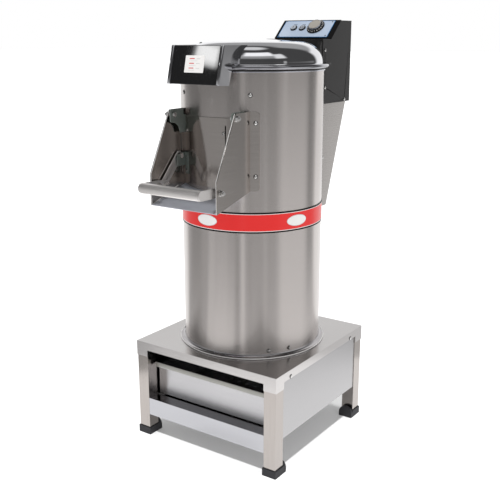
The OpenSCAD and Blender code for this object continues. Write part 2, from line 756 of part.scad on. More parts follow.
// outline of the dome from the flange to the axis, as [radius, height above the flange]
function dome_outline(t) = concat(
    [[dome_r - t, 0]],
    [for (i = [1:shoulder]) let (a = i * 90 / shoulder)
        [crown_r - 30 + (dome_r - t - crown_r + 30) * pow(cos(a), 0.8), (dome_h - crown_rise - t) * pow(sin(a), 0.9)]],
    [for (i = [1:5]) let (f = 1 - i / 5) [(crown_r - 30) * f, dome_h - t - crown_rise * f * f]]);
module dome_solid(t) { rotate_extrude($fn = 128) polygon(concat([[0, 0]], dome_outline(t))); }
module lid_shell() {
    from_axis() color(polished) translate([0, 0, flange_z]) difference() {
        union() {
            translate([0, 0, flange_h]) dome_solid(0);
            rotate_extrude($fn = 128) {
                square([flange_r - 5, flange_h]);
                translate([flange_r - 5, 0]) intersection() {
                    translate([0, flange_h / 2]) circle(r = flange_h / 2 , $fn = 40);
                    square([5, flange_h]);
                }
            }
            translate([0, 0, 3]) linear_extrude(flange_h - 3) {
                for (side = [-1, 1])
                    strap([0, 0], flange_r - 5, [side * (tongue_x - tongue_r), drum_r + 6 - tongue_r], tongue_r);
                translate([tongue_r - tongue_x, 0]) square([2 * (tongue_x - tongue_r), drum_r + 6]);
            }
        }
        translate([0, 0, flange_h - seam]) dome_solid(lid_t);
        translate([0, 0, -1]) cylinder(r = dome_r - lid_t, h = flange_h + 1);
    }
}
module lid_gasket() { from_axis() color(black) ring(drum_r + 4, dome_r - lid_t, rim_z + gap, flange_z); }
// a [y, z] outline leaned like the handle's face, from its lower edge up
module grip_slab(x0, x1, front, back) {
    across(x0, x1) translate(grip_low) rotate(-grip_angle) translate([-back, 0]) square([back - front, grip_len]);
}
module lid_handle() {
    cheek = grip_x + grip_edge;
    from_axis() color(polished) both_sides() difference() {
        union() {
            across(cheek - 2, cheek) polygon([grip_low, [grip_low[0] + 41, grip_low[1] - 2], [-213, 1078],
                [-213, 1094], [-90, 1094], [-90, grip_high[1]], grip_high]);
            across(grip_x, cheek) polygon([grip_low, grip_low + [2, 0], grip_high + [2, 0], grip_high]);
            // folded rear edge below the flange
            across(cheek - 10, cheek) polygon([[grip_low[0] + 39, grip_low[1] - 2], [grip_low[0] + 41, grip_low[1] - 2],
                [-213, 1078], [-215, 1078]]);
        }
        translate([0, 0, flange_z]) cylinder(r = flange_r + 1, h = flange_h);
        translate([0, 0, dome_z]) dome_solid(0);
    }
}
module lid_plate() {
    t = 4;
    fold = 14;
    from_axis() color(black) across(-grip_x, grip_x) polygon([grip_low, grip_low + [t, 1],
        grip_high + [t, -3], grip_high + [fold, -3], grip_high + [fold, 0], grip_high]);
}
module lid_hinge_ears() {
    top = dome_z;
    from_axis() color(polished) both_sides() across(ear_x, ear_x + 8) difference() {
        union() {
            strap([hinge_at[0] - 12, top + ear_r], ear_r, hinge_at, ear_r);
            translate([hinge_at[0] - 24, top]) square([18, 6]);
        }
        translate(hinge_at) circle(r = pin_r + run_gap);
    }
    from_axis() color(polished) span([-10, hinge_at[0] - 14, top], [10, hinge_at[0] - 6, top + 4]);
}
module hinge_brackets() {
    from_axis() color(black) both_sides() {
        across(bracket_x, bracket_x + 11) polygon([[box_front, hinge_at[1] + 36], [box_front - 10, hinge_at[1] + 36],
            [hinge_at[0] - 7, hinge_at[1] + 8], [hinge_at[0] - 7, hinge_at[1] - 8], [box_front, hinge_at[1] - 14]]);
        bar_x(hinge_at, pin_r, ear_x - 3, bracket_x + seam);
    }
    from_axis() color(black) span([-14, box_front - 12, hinge_at[1] - 13], [14, box_front, hinge_at[1] + 16]);
}

// ---- water ----
inlet_z = rim_z - 42;
inlet_r = 13.2;
module water_inlet() {
    from_axis() color([0.78, 0.68, 0.42]) difference() {
        union() {
            radial(135, inlet_z) translate([0, 0, drum_r - 24]) cylinder(r = inlet_r, h = 24 + 38);
            radial(135, inlet_z) translate([0, 0, drum_r + 1]) cylinder(r = 20, h = 7, $fn = 6);
            rotate([0, 0, 135]) translate([drum_r - 24, 0, inlet_z - 20]) cylinder(r = 9, h = 22);
        }
        radial(135, inlet_z) translate([0, 0, drum_r - 20]) cylinder(r = 9, h = 80);
        rotate([0, 0, 135]) translate([drum_r - 24, 0, inlet_z - 21]) cylinder(r = 5, h = 22);
    }
}

// ---- control box ----
module box_outline(t) {
    s = sin(fascia_a) * t;
    polygon([[box_front + t, box_low_z + t], [box_rear, box_low_z + t], [box_rear, box_top_z - t],
        [fascia_y1 + s / 2, box_top_z - t], [fascia_y0 + s / 2, box_ledge_z - t], [box_front + t, box_ledge_z - t]]);
}
module control_box() {
    t = box_wall;
    from_axis() color([0.23, 0.22, 0.22]) difference() {
        across(-box_x, box_x) box_outline(0);
        across(-box_x + t, box_x - t) box_outline(t);
        span([-box_x + t, box_rear - 1, box_low_z + t], [box_x - t, box_rear + 1, box_top_z - t]);
        span([-50, box_front + 40, box_low_z - 1], [50, box_rear - 60, box_low_z + 5]);
        side_holes(box_side_screws, box_x, t);
        on_fascia() translate([knob_at[0], knob_at[1], -10]) cylinder(r = 5, h = 20);
        on_fascia() for (p = [start_at, stop_at]) translate([p[0], p[1], -10]) cylinder(d = button_d + 2, h = 20);
    }
}
module box_cover() {
    inset = 8;
    from_axis() color([0.23, 0.22, 0.22]) span([-box_x, box_rear, box_low_z], [box_x, box_rear + cover_t, box_top_z]);
    from_axis() color(polished) for (x = [-box_x + inset, box_x - inset]) for (z = [box_low_z + inset, box_top_z - inset])
        translate([x, box_rear + cover_t, z]) rotate([-90, 0, 0]) cylinder(r = 3.5, h = cover_screw, $fn = 24);
}
duct_top = 377;
duct_low = 269;
duct_low_z = 656;
module duct_outline(t) {
    polygon([[drum_r - 80, box_low_z + (t > 0 ? 1 : 0)], [duct_top - t, box_low_z + (t > 0 ? 1 : 0)],
        [duct_low - t, duct_low_z + t], [drum_r - 80, duct_low_z + t]]);
}
module rear_duct() {
    t = box_wall;
    from_axis() color(steel) difference() {
        across(-duct_x, duct_x) duct_outline(0);
        across(-duct_x + t, duct_x - t) duct_outline(t);
        side_holes(duct_side_screws, duct_x, t);
        cylinder(r = drum_r, h = rim_z);
        cylinder(r = band_r + 0.4, h = band_z + band_w + 4);
        translate([0, gland_y, duct_low_z - 1]) cylinder(r = gland_r, h = 5);
    }
}
gland_y = 255;
gland_r = 8;
module cable_gland() {
    from_axis() color(black) translate([0, gland_y, 0]) difference() {
        union() {
            translate([0, 0, duct_low_z - 8]) cylinder(r = 13, h = 8, $fn = 6);
            translate([0, 0, duct_low_z - 20]) cylinder(r = 10, h = 14);
            translate([0, 0, duct_low_z - 1]) cylinder(r = gland_r, h = 10);
            translate([0, 0, duct_low_z + 1.5]) cylinder(r = 12, h = 5, $fn = 6);
        }
        translate([0, 0, duct_low_z - 21]) cylinder(r = 5, h = 40);
    }
}
module fascia() {
    margin = 4;
    from_axis() color(black) on_fascia() difference() {
        translate([-box_x - 1, 0, 0]) cube([2 * box_x + 2, fascia_len, fascia_t]);
        translate([knob_at[0], knob_at[1], -1]) cylinder(r = 5, h = 10);
        for (p = [start_at, stop_at]) translate([p[0], p[1], -1]) cylinder(d = button_d + 2, h = 10);
    }
    from_axis() color([0.75, 0.81, 0.88]) on_fascia() difference() {
        translate([panel_from, margin, fascia_t]) cube([panel_to - panel_from, fascia_len - 2 * margin, panel_t]);
        translate([knob_at[0], knob_at[1], -1]) cylinder(r = 5, h = 10);
        for (p = [start_at, stop_at]) translate([p[0], p[1], -1]) cylinder(d = button_d + 2, h = 10);
    }
}
module button(at) {
    on_fascia() translate([at[0], at[1], 0]) {
        cylinder(d = button_d, h = face_z + 2 + button_travel, $fn = 48);
        translate([0, 0, -9]) cylinder(r = 3, h = 10, $fn = 32);
    }
}
module start_button() { from_axis() color([0.30, 0.32, 0.32]) button(start_at); }
module stop_button() { from_axis() color([0.30, 0.32, 0.32]) button(stop_at); }
module timer_knob() {
    skirt_h = 5;
    cap_h = 6;
    cap_r = knob_d * 0.35;
    from_axis() on_fascia() translate([knob_at[0], knob_at[1], 0]) {
        color(black) translate([0, 0, face_z + gap]) cylinder(d1 = knob_d, d2 = knob_d - 6, h = skirt_h);
        color(polished) translate([0, 0, face_z + gap + skirt_h - seam]) cylinder(r = cap_r, h = cap_h);
        color(polished) translate([0, 0, -12]) cylinder(r = 3, h = 20);
    }
}
module switch_bodies() {
    from_axis() color([0.85, 0.85, 0.80]) on_fascia() {
        translate([knob_at[0], knob_at[1], -44]) difference() {
            translate([-22, -22, 0]) cube([44, 44, 40]);
            translate([0, 0, 25]) cylinder(r = 3 + run_gap, h = 20);
        }
        for (p = [start_at, stop_at]) translate([p[0], p[1], -40]) difference() {
            translate([-11, -14, 0]) cube([22, 28, 36]);
            translate([0, 0, 20]) cylinder(r = 3 + run_gap, h = 20);
        }
    }
}

table_top();
legs();
feet();
front_rail();
side_panels();
rear_panel();
drawer_runners();
waste_basin();
drain_outlet();
drawer();
drawer_strainer();
drum_shell();
base_ring();
colour_band();
band_trims();
drum_rim();
chamber_floor();
abrasive_liner();
peel_pipe();
abrasive_disc();
peel_wipers();
drive_shaft();
disc_nut();
bearing_housing();
shaft_bearings();
shaft_seal();
large_pulley();
drive_belt();
motor_pulley();
motor_shaft();
motor();
motor_plate();
chute_sides();
chute_floor();
discharge_door();
door_hinge_plates();
door_lugs();
door_bolts();
door_straps();
lifting_handle();
handle_bar();
handle_bolts();
chute_bolts();
case_screws();
lid_shell();
lid_gasket();
lid_handle();
lid_plate();
lid_hinge_ears();
hinge_brackets();
water_inlet();
control_box();
box_cover();
rear_duct();
cable_gland();
fascia();
start_button();
stop_button();
timer_knob();
switch_bodies();
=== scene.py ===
"""Looks of a floor-standing electric potato peeler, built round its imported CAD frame."""

import math

import bmesh
import bpy
from mathutils import Matrix, Vector


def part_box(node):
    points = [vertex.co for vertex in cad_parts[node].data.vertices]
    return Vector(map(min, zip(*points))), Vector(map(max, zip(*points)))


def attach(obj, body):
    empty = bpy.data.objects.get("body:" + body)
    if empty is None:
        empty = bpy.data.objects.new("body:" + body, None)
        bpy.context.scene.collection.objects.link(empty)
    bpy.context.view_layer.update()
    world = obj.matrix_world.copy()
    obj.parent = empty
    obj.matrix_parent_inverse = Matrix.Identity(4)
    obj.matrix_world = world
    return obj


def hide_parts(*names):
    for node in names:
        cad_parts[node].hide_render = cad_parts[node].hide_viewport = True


bl_info = {
    "name": "Potato Peeler Looks",
    "version": (1, 0, 0),
    "blender": (4, 5, 0),
    "location": "View3D > Sidebar > Peeler",
    "description": "Finishes and fine pieces of a floor-standing potato peeler",
    "category": "Object",
}

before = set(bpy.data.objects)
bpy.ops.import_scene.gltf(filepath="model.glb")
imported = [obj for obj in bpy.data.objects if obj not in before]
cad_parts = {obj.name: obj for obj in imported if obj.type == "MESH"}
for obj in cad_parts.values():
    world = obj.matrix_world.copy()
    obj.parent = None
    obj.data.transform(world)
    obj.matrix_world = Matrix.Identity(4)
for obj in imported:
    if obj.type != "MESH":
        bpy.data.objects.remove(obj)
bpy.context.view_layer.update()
MM = 0.001


def girth(node):
    """A round node's radius, foot and top in millimetres."""
    low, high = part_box(node)
    return (high.x - low.x) / 2 / MM, low.z / MM, high.z / MM


# The drum's axis in the frame. Every place below is in millimetres from it.
AXIS_Y = sum(corner.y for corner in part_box("drum_shell")) / 2
DRUM_R = girth("drum_shell")[0]
ON_AXIS = Matrix.Translation((0, AXIS_Y, 0))
# Steps round a piece as wide as the drum.
ROUND = 160


def at(x, y, z):
    """A point given in millimetres from the drum's axis, in the frame's metres."""
    return Vector((x * MM, y * MM + AXIS_Y, z * MM))


# The sloping fascia: its lower and upper front edge as (y, z), and the directions up the slope and out of it.
FASCIA_LOW, FASCIA_HIGH = (268.0, 1155.5), (327.0, 1209.0)
SLOPE = math.atan2(FASCIA_HIGH[1] - FASCIA_LOW[1], FASCIA_HIGH[0] - FASCIA_LOW[0])
UP_SLOPE = Vector((0, math.cos(SLOPE), math.sin(SLOPE)))
OFF_SLOPE = Vector((0, -math.sin(SLOPE), math.cos(SLOPE)))
FASCIA_LENGTH = (FASCIA_HIGH[0] - FASCIA_LOW[0]) / math.cos(SLOPE)
# Heights over the slope of the bezel's face and of the printed sheet's, and how thick its ink is.
BEZEL_TOP, SHEET_TOP, INK = 2.5, 3.5, 0.12
# The push buttons' centres on the fascia, and the knob's, as x and distance up the slope.
BUTTONS_X, BUTTONS_U = (-49, -19), 43
KNOB_AT = (26, 48)


def on_fascia(x, u):
    """A place on the fascia, x across and u up the slope, with z out of it."""
    turn = Matrix((Vector((1, 0, 0)), UP_SLOPE, OFF_SLOPE)).transposed().to_4x4()
    return Matrix.Translation(at(x, *FASCIA_LOW) + UP_SLOPE * (u * MM)) @ turn


# The lid handle's leaning face, from its lower edge up.
HANDLE_LOW, HANDLE_HIGH = Vector((0, -266, 1044)), Vector((0, -242, 1141))
HANDLE_RISE = (HANDLE_HIGH - HANDLE_LOW).length


def on_handle():
    """The lower edge of the lid handle's face, with x across, y up the face and z out of it."""
    rise = (HANDLE_HIGH - HANDLE_LOW).normalized()
    out = Vector((0, -rise.z, rise.y))
    turn = Matrix((Vector((1, 0, 0)), rise, out)).transposed().to_4x4()
    return Matrix.Translation(at(*HANDLE_LOW)) @ turn


# ---------------------------------------------------------------- mesh making
# A part is its vertices, in millimetres, and its faces. Points of a piece nearer than WELD, in metres, are one.

WELD = 1e-6


def piece(name, part, place, body, finish, angle=35):
    """A named mesh piece that rides on a CAD body, put in the frame by the matrix place. Folds past angle are sharp."""
    verts, faces = part
    mesh = bpy.data.meshes.new(name)
    mesh.from_pydata([tuple(place @ (v * MM)) for v in verts], [], faces)
    bm = bmesh.new()
    bm.from_mesh(mesh)
    bmesh.ops.remove_doubles(bm, verts=bm.verts, dist=WELD)
    bmesh.ops.recalc_face_normals(bm, faces=bm.faces)
    bm.to_mesh(mesh)
    bm.free()
    mesh.shade_smooth()
    mesh.set_sharp_from_angle(angle=math.radians(angle))
    obj = bpy.data.objects.new(name, mesh)
    bpy.context.scene.collection.objects.link(obj)
    obj.data.materials.append(MATERIALS[finish])
    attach(obj, body)
    return obj


def bevel(obj, width, segments=2, angle=30):
    """Rounds an object's edges by a width in millimetres."""
    modifier = obj.modifiers.new("edge", "BEVEL")
    modifier.width = width * MM
    modifier.segments = segments
    modifier.limit_method = "ANGLE"
    modifier.angle_limit = math.radians(angle)
    modifier.harden_normals = True


def polar(radius, angle, z=0.0):
    return Vector((radius * math.cos(angle), radius * math.sin(angle), z))


def joined(low, high, count):
    """Faces between two closed rings of count vertices, which start at low and high."""
    return [(low + i, low + (i + 1) % count, high + (i + 1) % count, high + i) for i in range(count)]


def revolved(profile, steps):
    """A closed profile of (radius, height) turned round Z."""
    count = len(profile)
    verts = [polar(r, 2 * math.pi * i / steps, z) for i in range(steps) for r, z in profile]
    faces = []
    for i in range(steps):
        faces += [(a, d, c, b) for a, b, c, d in joined(i * count, (i + 1) % steps * count, count)]
    return verts, faces


def extruded(outline, low, high):
    """A flat outline of (x, y) pushed from low to high along Z."""
    n = len(outline)
    verts = [Vector((x, y, z)) for z in (low, high) for x, y in outline]
    return verts, [tuple(reversed(range(n))), tuple(range(n, 2 * n))] + joined(0, n, n)


def arc(x, y, wide, tall, start, end, steps):
    """Points along an oval round (x, y), from one angle to another."""
    turns = [start + (end - start) * i / steps for i in range(steps + 1)]
    return [(x + wide * math.cos(a), y + tall * math.sin(a)) for a in turns]


def rounded_box(x0, y0, x1, y1, r, steps=6):
    """Outline of a rectangle with rounded corners."""
    points = []
    for i, (x, y) in enumerate(((x1 - r, y0 + r), (x1 - r, y1 - r), (x0 + r, y1 - r), (x0 + r, y0 + r))):
        points += arc(x, y, r, r, math.pi / 2 * (i - 1), math.pi / 2 * i, steps)
    return points


def merged(parts):
    """Several parts as one."""
    verts, faces = [], []
    for v, f in parts:
        base = len(verts)
        verts += v
        faces += [tuple(base + i for i in face) for face in f]
    return verts, faces


def moved(part, matrix):
    return [matrix @ v for v in part[0]], part[1]


def tube(path, radius, steps=10):
    """A round bead along straight runs of points, mitred at each bend. The runs lie square to X."""
    verts, faces = [], []
    for k, point in enumerate(path):
        before = (point - path[k - 1]).normalized() if k else (path[1] - point).normalized()
        after = (path[k + 1] - point).normalized() if k < len(path) - 1 else before
        along = (before + after).normalized()
        side = Vector((1, 0, 0))
        up = along.cross(side).normalized() / max(along.dot(before), 0.5)
        for i in range(steps):
            a = 2 * math.pi * i / steps
            verts.append(point + (side * math.cos(a) + up * math.sin(a)) * radius)
    for k in range(len(path) - 1):
        faces += joined(k * steps, (k + 1) * steps, steps)
    faces += [tuple(range(steps)), tuple((len(path) - 1) * steps + i for i in range(steps))]
    return verts, faces


# ---------------------------------------------------------------- materials


def colour(code):
    """A linear colour from an sRGB hex value."""
    parts = [int(code[i : i + 2], 16) / 255 for i in (1, 3, 5)]
    return [c / 12.92 if c <= 0.04045 else ((c + 0.055) / 1.055) ** 2.4 for c in parts] + [1.0]


def grey(level):
    return (level, level, level, 1.0)


def add(tree, kind, inputs=None, **settings):
    """Adds a node with its settings, and links or sets its inputs."""
    node = tree.nodes.new(kind)
    for key, value in settings.items():
        setattr(node, key, value)
    for key, value in (inputs or {}).items():
        if isinstance(value, bpy.types.NodeSocket):
            tree.links.new(value, node.inputs[key])
        else:
            node.inputs[key].default_value = value
    return node


def start_material(name):
    """A new material and its empty node tree."""
    material = bpy.data.materials.new(name)
    material.use_nodes = True
    material.node_tree.nodes.clear()
    return material, material.node_tree


def cells(size_mm):
    """Pattern cells to the metre, for cells of a real size."""
    return 1 / (size_mm * MM)


def surface(tree, tones, shade, wear, roughness, relief, sockets):
    """What the finishes share: two tones over one pattern, a roughness that wanders with another, and a relief.

    tones are the dark and light colour and how softly they blend, relief its pattern, strength and depth.
    """
    dark, light, blend = tones
    tone = add(tree, "ShaderNodeValToRGB", {"Fac": shade})
    for stop, spot, code in zip(tone.color_ramp.elements, (0.5 - blend, 0.5 + blend), (dark, light)):
        stop.position, stop.color = spot, colour(code)
    low, high = roughness
    span = {"Value": wear, "From Min": 0.3, "From Max": 0.7, "To Min": low, "To Max": high}
    rough = add(tree, "ShaderNodeMapRange", span).outputs["Result"]
    pattern, strength, depth_mm = relief
    lift = add(tree, "ShaderNodeBump", {"Height": pattern, "Strength": strength, "Distance": depth_mm * MM})
    inputs = {"Base Color": tone.outputs["Color"], "Roughness": rough, "Normal": lift.outputs["Normal"]}
    shader = add(tree, "ShaderNodeBsdfPrincipled", inputs | sockets)
    add(tree, "ShaderNodeOutputMaterial", {"Surface": shader.outputs["BSDF"]})


# Belt scratches are about 0.05 mm apart, too fine to show. They are drawn 1.1 mm apart, and 111 mm long.
SCRATCH_GAP, SCRATCH_RUN = 10 / 9, 1000 / 9


def brushed(
    name, light, dark, run, smear, roughness=0.3, stretch=0.9, bump=0.02, spread=0.02, metal=1.0, gap=SCRATCH_GAP
):
    """Metal finished on a belt: scratches along the axes named in run smear a reflection across them and keep
    it sharp along them, and the tone drifts slowly over a hand's width."""
    material, tree = start_material(name)
    place = add(tree, "ShaderNodeTexCoord").outputs["Object"]
    scale = [cells(SCRATCH_RUN if axis in run else gap) for axis in "xyz"]
    along = add(tree, "ShaderNodeMapping", {"Vector": place, "Scale": scale}).outputs["Vector"]
    fine = add(tree, "ShaderNodeTexNoise", {"Vector": along, "Scale": 1.0, "Detail": 3.0, "Roughness": 0.6})
    scratch = fine.outputs["Fac"]
    broad = add(tree, "ShaderNodeTexNoise", {"Vector": place, "Scale": cells(200), "Detail": 2.0})
    both = {"Factor": 0.25, 2: scratch, 3: broad.outputs["Fac"]}
    shade = add(tree, "ShaderNodeMix", both, data_type="FLOAT").outputs[0]
    across = add(tree, "ShaderNodeCombineXYZ", dict(zip("XYZ", smear))).outputs["Vector"]
    wander = (roughness - spread, roughness + spread)
    sockets = {"Metallic": metal, "Anisotropic": stretch, "Tangent": across}
    surface(tree, (dark, light, 0.14), shade, scratch, wander, (scratch, bump, 0.2), sockets)
    return material


def polished(name, light, dark, roughness):
    """Stainless buffed to a mirror: a clear image with a slight orange peel, and haze left by the buff."""
    material, tree = start_material(name)
    place = add(tree, "ShaderNodeTexCoord").outputs["Object"]
    peel = add(tree, "ShaderNodeTexNoise", {"Vector": place, "Scale": cells(25), "Detail": 1.0}).outputs["Fac"]
    haze = add(tree, "ShaderNodeTexNoise", {"Vector": place, "Scale": cells(83.333), "Detail": 3.0}).outputs["Fac"]
    wander = (roughness - 0.02, roughness + 0.03)
    surface(tree, (dark, light, 0.15), haze, haze, wander, (peel, 0.03, 0.6), {"Metallic": 1.0})
    return material


def grained(
    name, light, dark, roughness, grain_mm, bump, metal=0.0, coat=0.0, depth_mm=0.3, specular=0.5, coat_ior=1.5
):
    """A surface with an even grain: moulded plastic, powder coat, rubber, print, cast metal or grit.

    Most real grains are 0.1 to 0.5 mm wide, too fine to show, so they are drawn coarser, at grain_mm. Two lie in each
    cell of the pattern. The tone and the gloss wear in patches as wide as a palm.
    """
    material, tree = start_material(name)
    place = add(tree, "ShaderNodeTexCoord").outputs["Object"]
    shape = {"Vector": place, "Scale": cells(2 * grain_mm), "Detail": 2.0, "Roughness": 0.55}
    grain = add(tree, "ShaderNodeTexNoise", shape).outputs["Fac"]
    wear = add(tree, "ShaderNodeTexNoise", {"Vector": place, "Scale": cells(71.429), "Detail": 4.0}).outputs["Fac"]
    wander = (max(roughness - 0.04, 0.02), roughness + 0.05)
    sockets = {"Metallic": metal, "Coat Weight": coat, "Coat Roughness": 0.02, "Coat IOR": coat_ior}
    if metal < 0.5:
        sockets["Specular IOR Level"] = specular
    surface(tree, (dark, light, 0.15), wear, wear, wander, (grain, bump, depth_mm), sockets)
    return material


def band_enamel(name, pinstripe):
    """Gloss red enamel with a pale pinstripe of that width along each edge, under a thin clear coat."""
    low, high = (corner.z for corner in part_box("colour_band"))
    edge = pinstripe * MM / (high - low)
    material, tree = start_material(name)
    place = add(tree, "ShaderNodeTexCoord").outputs["Object"]
    height = add(tree, "ShaderNodeSeparateXYZ", {"Vector": place}).outputs["Z"]
    run = add(tree, "ShaderNodeMapRange", {"Value": height, "From Min": low, "From Max": high})
    paint = add(tree, "ShaderNodeValToRGB", {"Fac": run.outputs["Result"]})
    paint.color_ramp.interpolation = "CONSTANT"
    stops = paint.color_ramp.elements
    stops.new(0.5)
    red, pale = colour("#E5211F"), colour("#E9E4E2")
    for stop, (spot, shade) in zip(stops, [(0.0, pale), (edge, red), (1 - edge, pale)]):
        stop.position, stop.color = spot, shade
    ripple = add(tree, "ShaderNodeTexNoise", {"Vector": place, "Scale": cells(16.667), "Detail": 1.0})
    lift = add(tree, "ShaderNodeBump", {"Height": ripple.outputs["Fac"], "Strength": 0.02, "Distance": 0.4 * MM})
    gloss = {
        "Base Color": paint.outputs["Color"],
        "Roughness": 0.36,
        "Specular IOR Level": 0.3,
        "Coat Weight": 0.3,
        "Coat Roughness": 0.06,
        "Normal": lift.outputs["Normal"],
    }
    shader = add(tree, "ShaderNodeBsdfPrincipled", gloss)
    add(tree, "ShaderNodeOutputMaterial", {"Surface": shader.outputs["BSDF"]})
    return material


MATERIALS = {}


def make_materials():
    m = MATERIALS
    # The way a reflection is blurred on each sheet: one direction serves both faces of a folded sheet.
    upright, front, rail_way, side_way, post_way = (0, 0, 1), (0, 1, 0), (0, 0.7, 0.7), (0.7, 0, 0.7), (0.7, 0.7, 0)
    # Rolled with its scratches round the drum: reflections run up and down it as clean bands.
    m["drum"] = brushed(
        "Stainless drum sheet, belt brushed", "#CBC5C2", "#C8C2BF", "xy", upright, 0.26, 0.95, 0.0015, 0.006
    )
    # Folded sheets keep the mill's own brushing along one axis. The side panels' copy is darker than the front sheets':
    # painted shade on the stand's sides.
    m["sheet_x"] = brushed(
        "Stainless sheet, brushed crosswise", "#C4C3C5", "#BCBBBD", "x", rail_way, 0.26, bump=0.003, spread=0.01
    )
    m["sheet_y_shaded"] = brushed(
        "Stainless sheet, brushed front to back", "#B2B1B2", "#AFAEAF", "y", side_way, 0.27, bump=0.001, spread=0.003
    )
    m["table"] = brushed(
        "Stainless table sheet, brushed crosswise", "#C8C5C4", "#C0BDBC", "x", front, 0.23, 0.8, 0.004, 0.01
    )
    m["duct"] = brushed("Stainless duct sheet, brushed level", "#B3AFAC", "#ABA7A4", "xy", upright, 0.28)
    # The rail's face is rubbed smoother than the sheets, and shows a bright, even front.
    m["rail"] = brushed(
        "Stainless rail, brushed crosswise", "#B3B3B7", "#ADADB1", "x", rail_way, 0.16, 0.0, 0.001, 0.01
    )
    # Square tube drawn along its length: warm, with soft upright streaks.
    m["sheet_z"] = brushed(
        "Stainless tube, brushed upright", "#ADA7A3", "#A6A09C", "z", post_way, 0.20, 0.7, 0.004, 0.01
    )
    # Satin so fine that the plates mirror the drum as a soft shape.
    m["chute"] = brushed("Stainless chute sheet, fine satin", "#BEB8B4", "#B2ACA8", "xy", upright, 0.16, 0.6)
    # Bead blasted and matt; its pale, slightly blue tone beside the brushed sheets is a painted reflection of the
    # bright sky above it.
    m["blasted"] = grained("Stainless chute floor, blasted, painted sky reflection", "#DDE0EA", "#D2D5DF", 0.34, 1.5, 0.05, metal=0.6)
    # Round tube ground lengthwise: a broad soft highlight along it.
    m["tube"] = brushed(
        "Stainless tube, satin ground", "#E4E1DF", "#D8D4D2", "x", upright, 0.34, 0.6, metal=0.8, gap=10 / 7
    )
    # The lid's dome and its fittings: a clear dark and bright image of the room.
    m["mirror"] = polished("Stainless, mirror polished", "#E2E2E5", "#D6D6DA", 0.055)
    # Spun and turned rings: the same image, drawn out and softer.
    m["ring"] = polished("Stainless ring, spun and polished", "#D5D5DC", "#C6C6CD", 0.12)
    m["foot_ring"] = polished("Stainless foot ring, turned", "#B5B2B3", "#ABA8A9", 0.20)
    # The rolled rim's steel is a darker copy of the dome's: painted shade that dims its reflection.
    m["rolled"] = polished("Stainless rolled rim, painted shade", "#AEAEB3", "#A2A2A7", 0.10)
    # A near-white, half-metallic satin, paler than any steel here: a painted highlight that draws the chute's cut edges
    # and the foot ring's lip as thin pale lines.
    m["edge"] = brushed(
        "Stainless edge, painted highlight", "#F2F0EE", "#E6E4E2", "", upright, 0.35, 0.0, metal=0.35, gap=10 / 3
    )
    # Cold formed heads catch small hard glints.
    m["bolts"] = polished("Stainless fasteners, cold formed", "#E2E1E0", "#CFCDCB", 0.09)
    # Zinc plate on pressed steel: a dull grey with a green cast beside the stainless.
    m["hardware"] = grained("Zinc plated steel, pressed", "#868D88", "#787F7A", 0.34, 2.0, 0.05, metal=0.45)
    # Powder coat: matt near-black whose pebbled skin spreads the light.
    m["powder"] = grained("Powder coated steel, fine texture", "#302F2F", "#2A2929", 0.46, 1.2, 0.10, specular=0.3)
    # Deep gloss black with a hard clear skin: dark, but it mirrors the window and the lamps.
    m["gloss"] = grained(
        "Acrylic sheet, cast and polished", "#0B0B0D", "#08080A", 0.04, 40.0, 0.004,
        coat=1.0, specular=1.0, coat_ior=1.8,
    )
    # Satin black round the panel, which hardly reflects.
    m["frame"] = grained("ABS bezel, moulded satin", "#0C0B0B", "#080707", 0.36, 1.0, 0.03, specular=0.12)
    # Pale blue print on satin metal: even, with a faint metal shift.
    m["panel"] = grained(
        "Anodised aluminium panel, satin printed", "#BFCDE0", "#B2C1D6", 0.35, 0.8, 0.03, metal=0.15
    )
    # Rubber: soft grey black, matt on the feet and a little slicker on the extruded seals.
    m["rubber"] = grained("Rubber, compression moulded", "#303034", "#26262A", 0.60, 1.5, 0.10, specular=0.35)
    m["seal"] = grained("Nitrile rubber, extruded", "#1E1D1D", "#151414", 0.55, 1.0, 0.05, specular=0.4)
    # The band: saturated red under a clear gloss, edged by thin black lines.
    m["band"] = band_enamel("Red enamel band, printed", pinstripe=1.6)
    m["line"] = grained("Black enamel line, printed", "#0E0D0D", "#0A0909", 0.40, 3.0, 0.02, specular=0.2)
    # Prints: flat colours with a slight sheen and hardly any relief.
    m["white"] = grained("Vinyl label, printed white", "#F4F2F0", "#ECEAE8", 0.40, 3.0, 0.02)
    m["red_ink"] = grained("Red ink, screen printed", "#D9484A", "#CF3C3E", 0.45, 3.0, 0.02)
    m["grey_ink"] = grained("Grey ink, screen printed", "#C9C7C6", "#BEBCBB", 0.45, 3.0, 0.02)
    m["dark_ink"] = grained("Dark ink, screen printed", "#3A3B40", "#2E2F34", 0.45, 3.0, 0.02)
    m["blue_ink"] = grained("Blue ink, screen printed", "#1F6FA6", "#1A6195", 0.40, 3.0, 0.02)
    # Moulded plastic: glossy enough for one soft highlight.
    m["abs"] = grained("ABS, moulded black", "#1A1A1B", "#111112", 0.30, 1.0, 0.05)
    m["button"] = grained("ABS button, moulded pale grey", "#B4BAC2", "#A6ACB5", 0.35, 1.0, 0.04)
    m["nylon"] = grained("Nylon, moulded natural", "#DBDACD", "#CFCEC0", 0.45, 1.0, 0.05)
    # Soft anodised aluminium: warmer and duller than the steel round it.
    m["cap"] = brushed(
        "Aluminium cap, turned and satin", "#CAC5BB", "#BDB8AE", "", upright, 0.42, 0.0, metal=0.5, gap=2
    )
    m["strip"] = brushed(
        "Aluminium strip, satin anodised", "#A09F9A", "#989792", "x", rail_way, 0.36, 0.6, bump=0.004
    )
    # Grit bonded in resin: coarse, dark and sparkless.
    m["grit"] = grained("Bonded silicon carbide grit", "#6A655E", "#3C3935", 0.85, 3.0, 0.9, depth_mm=1.2)
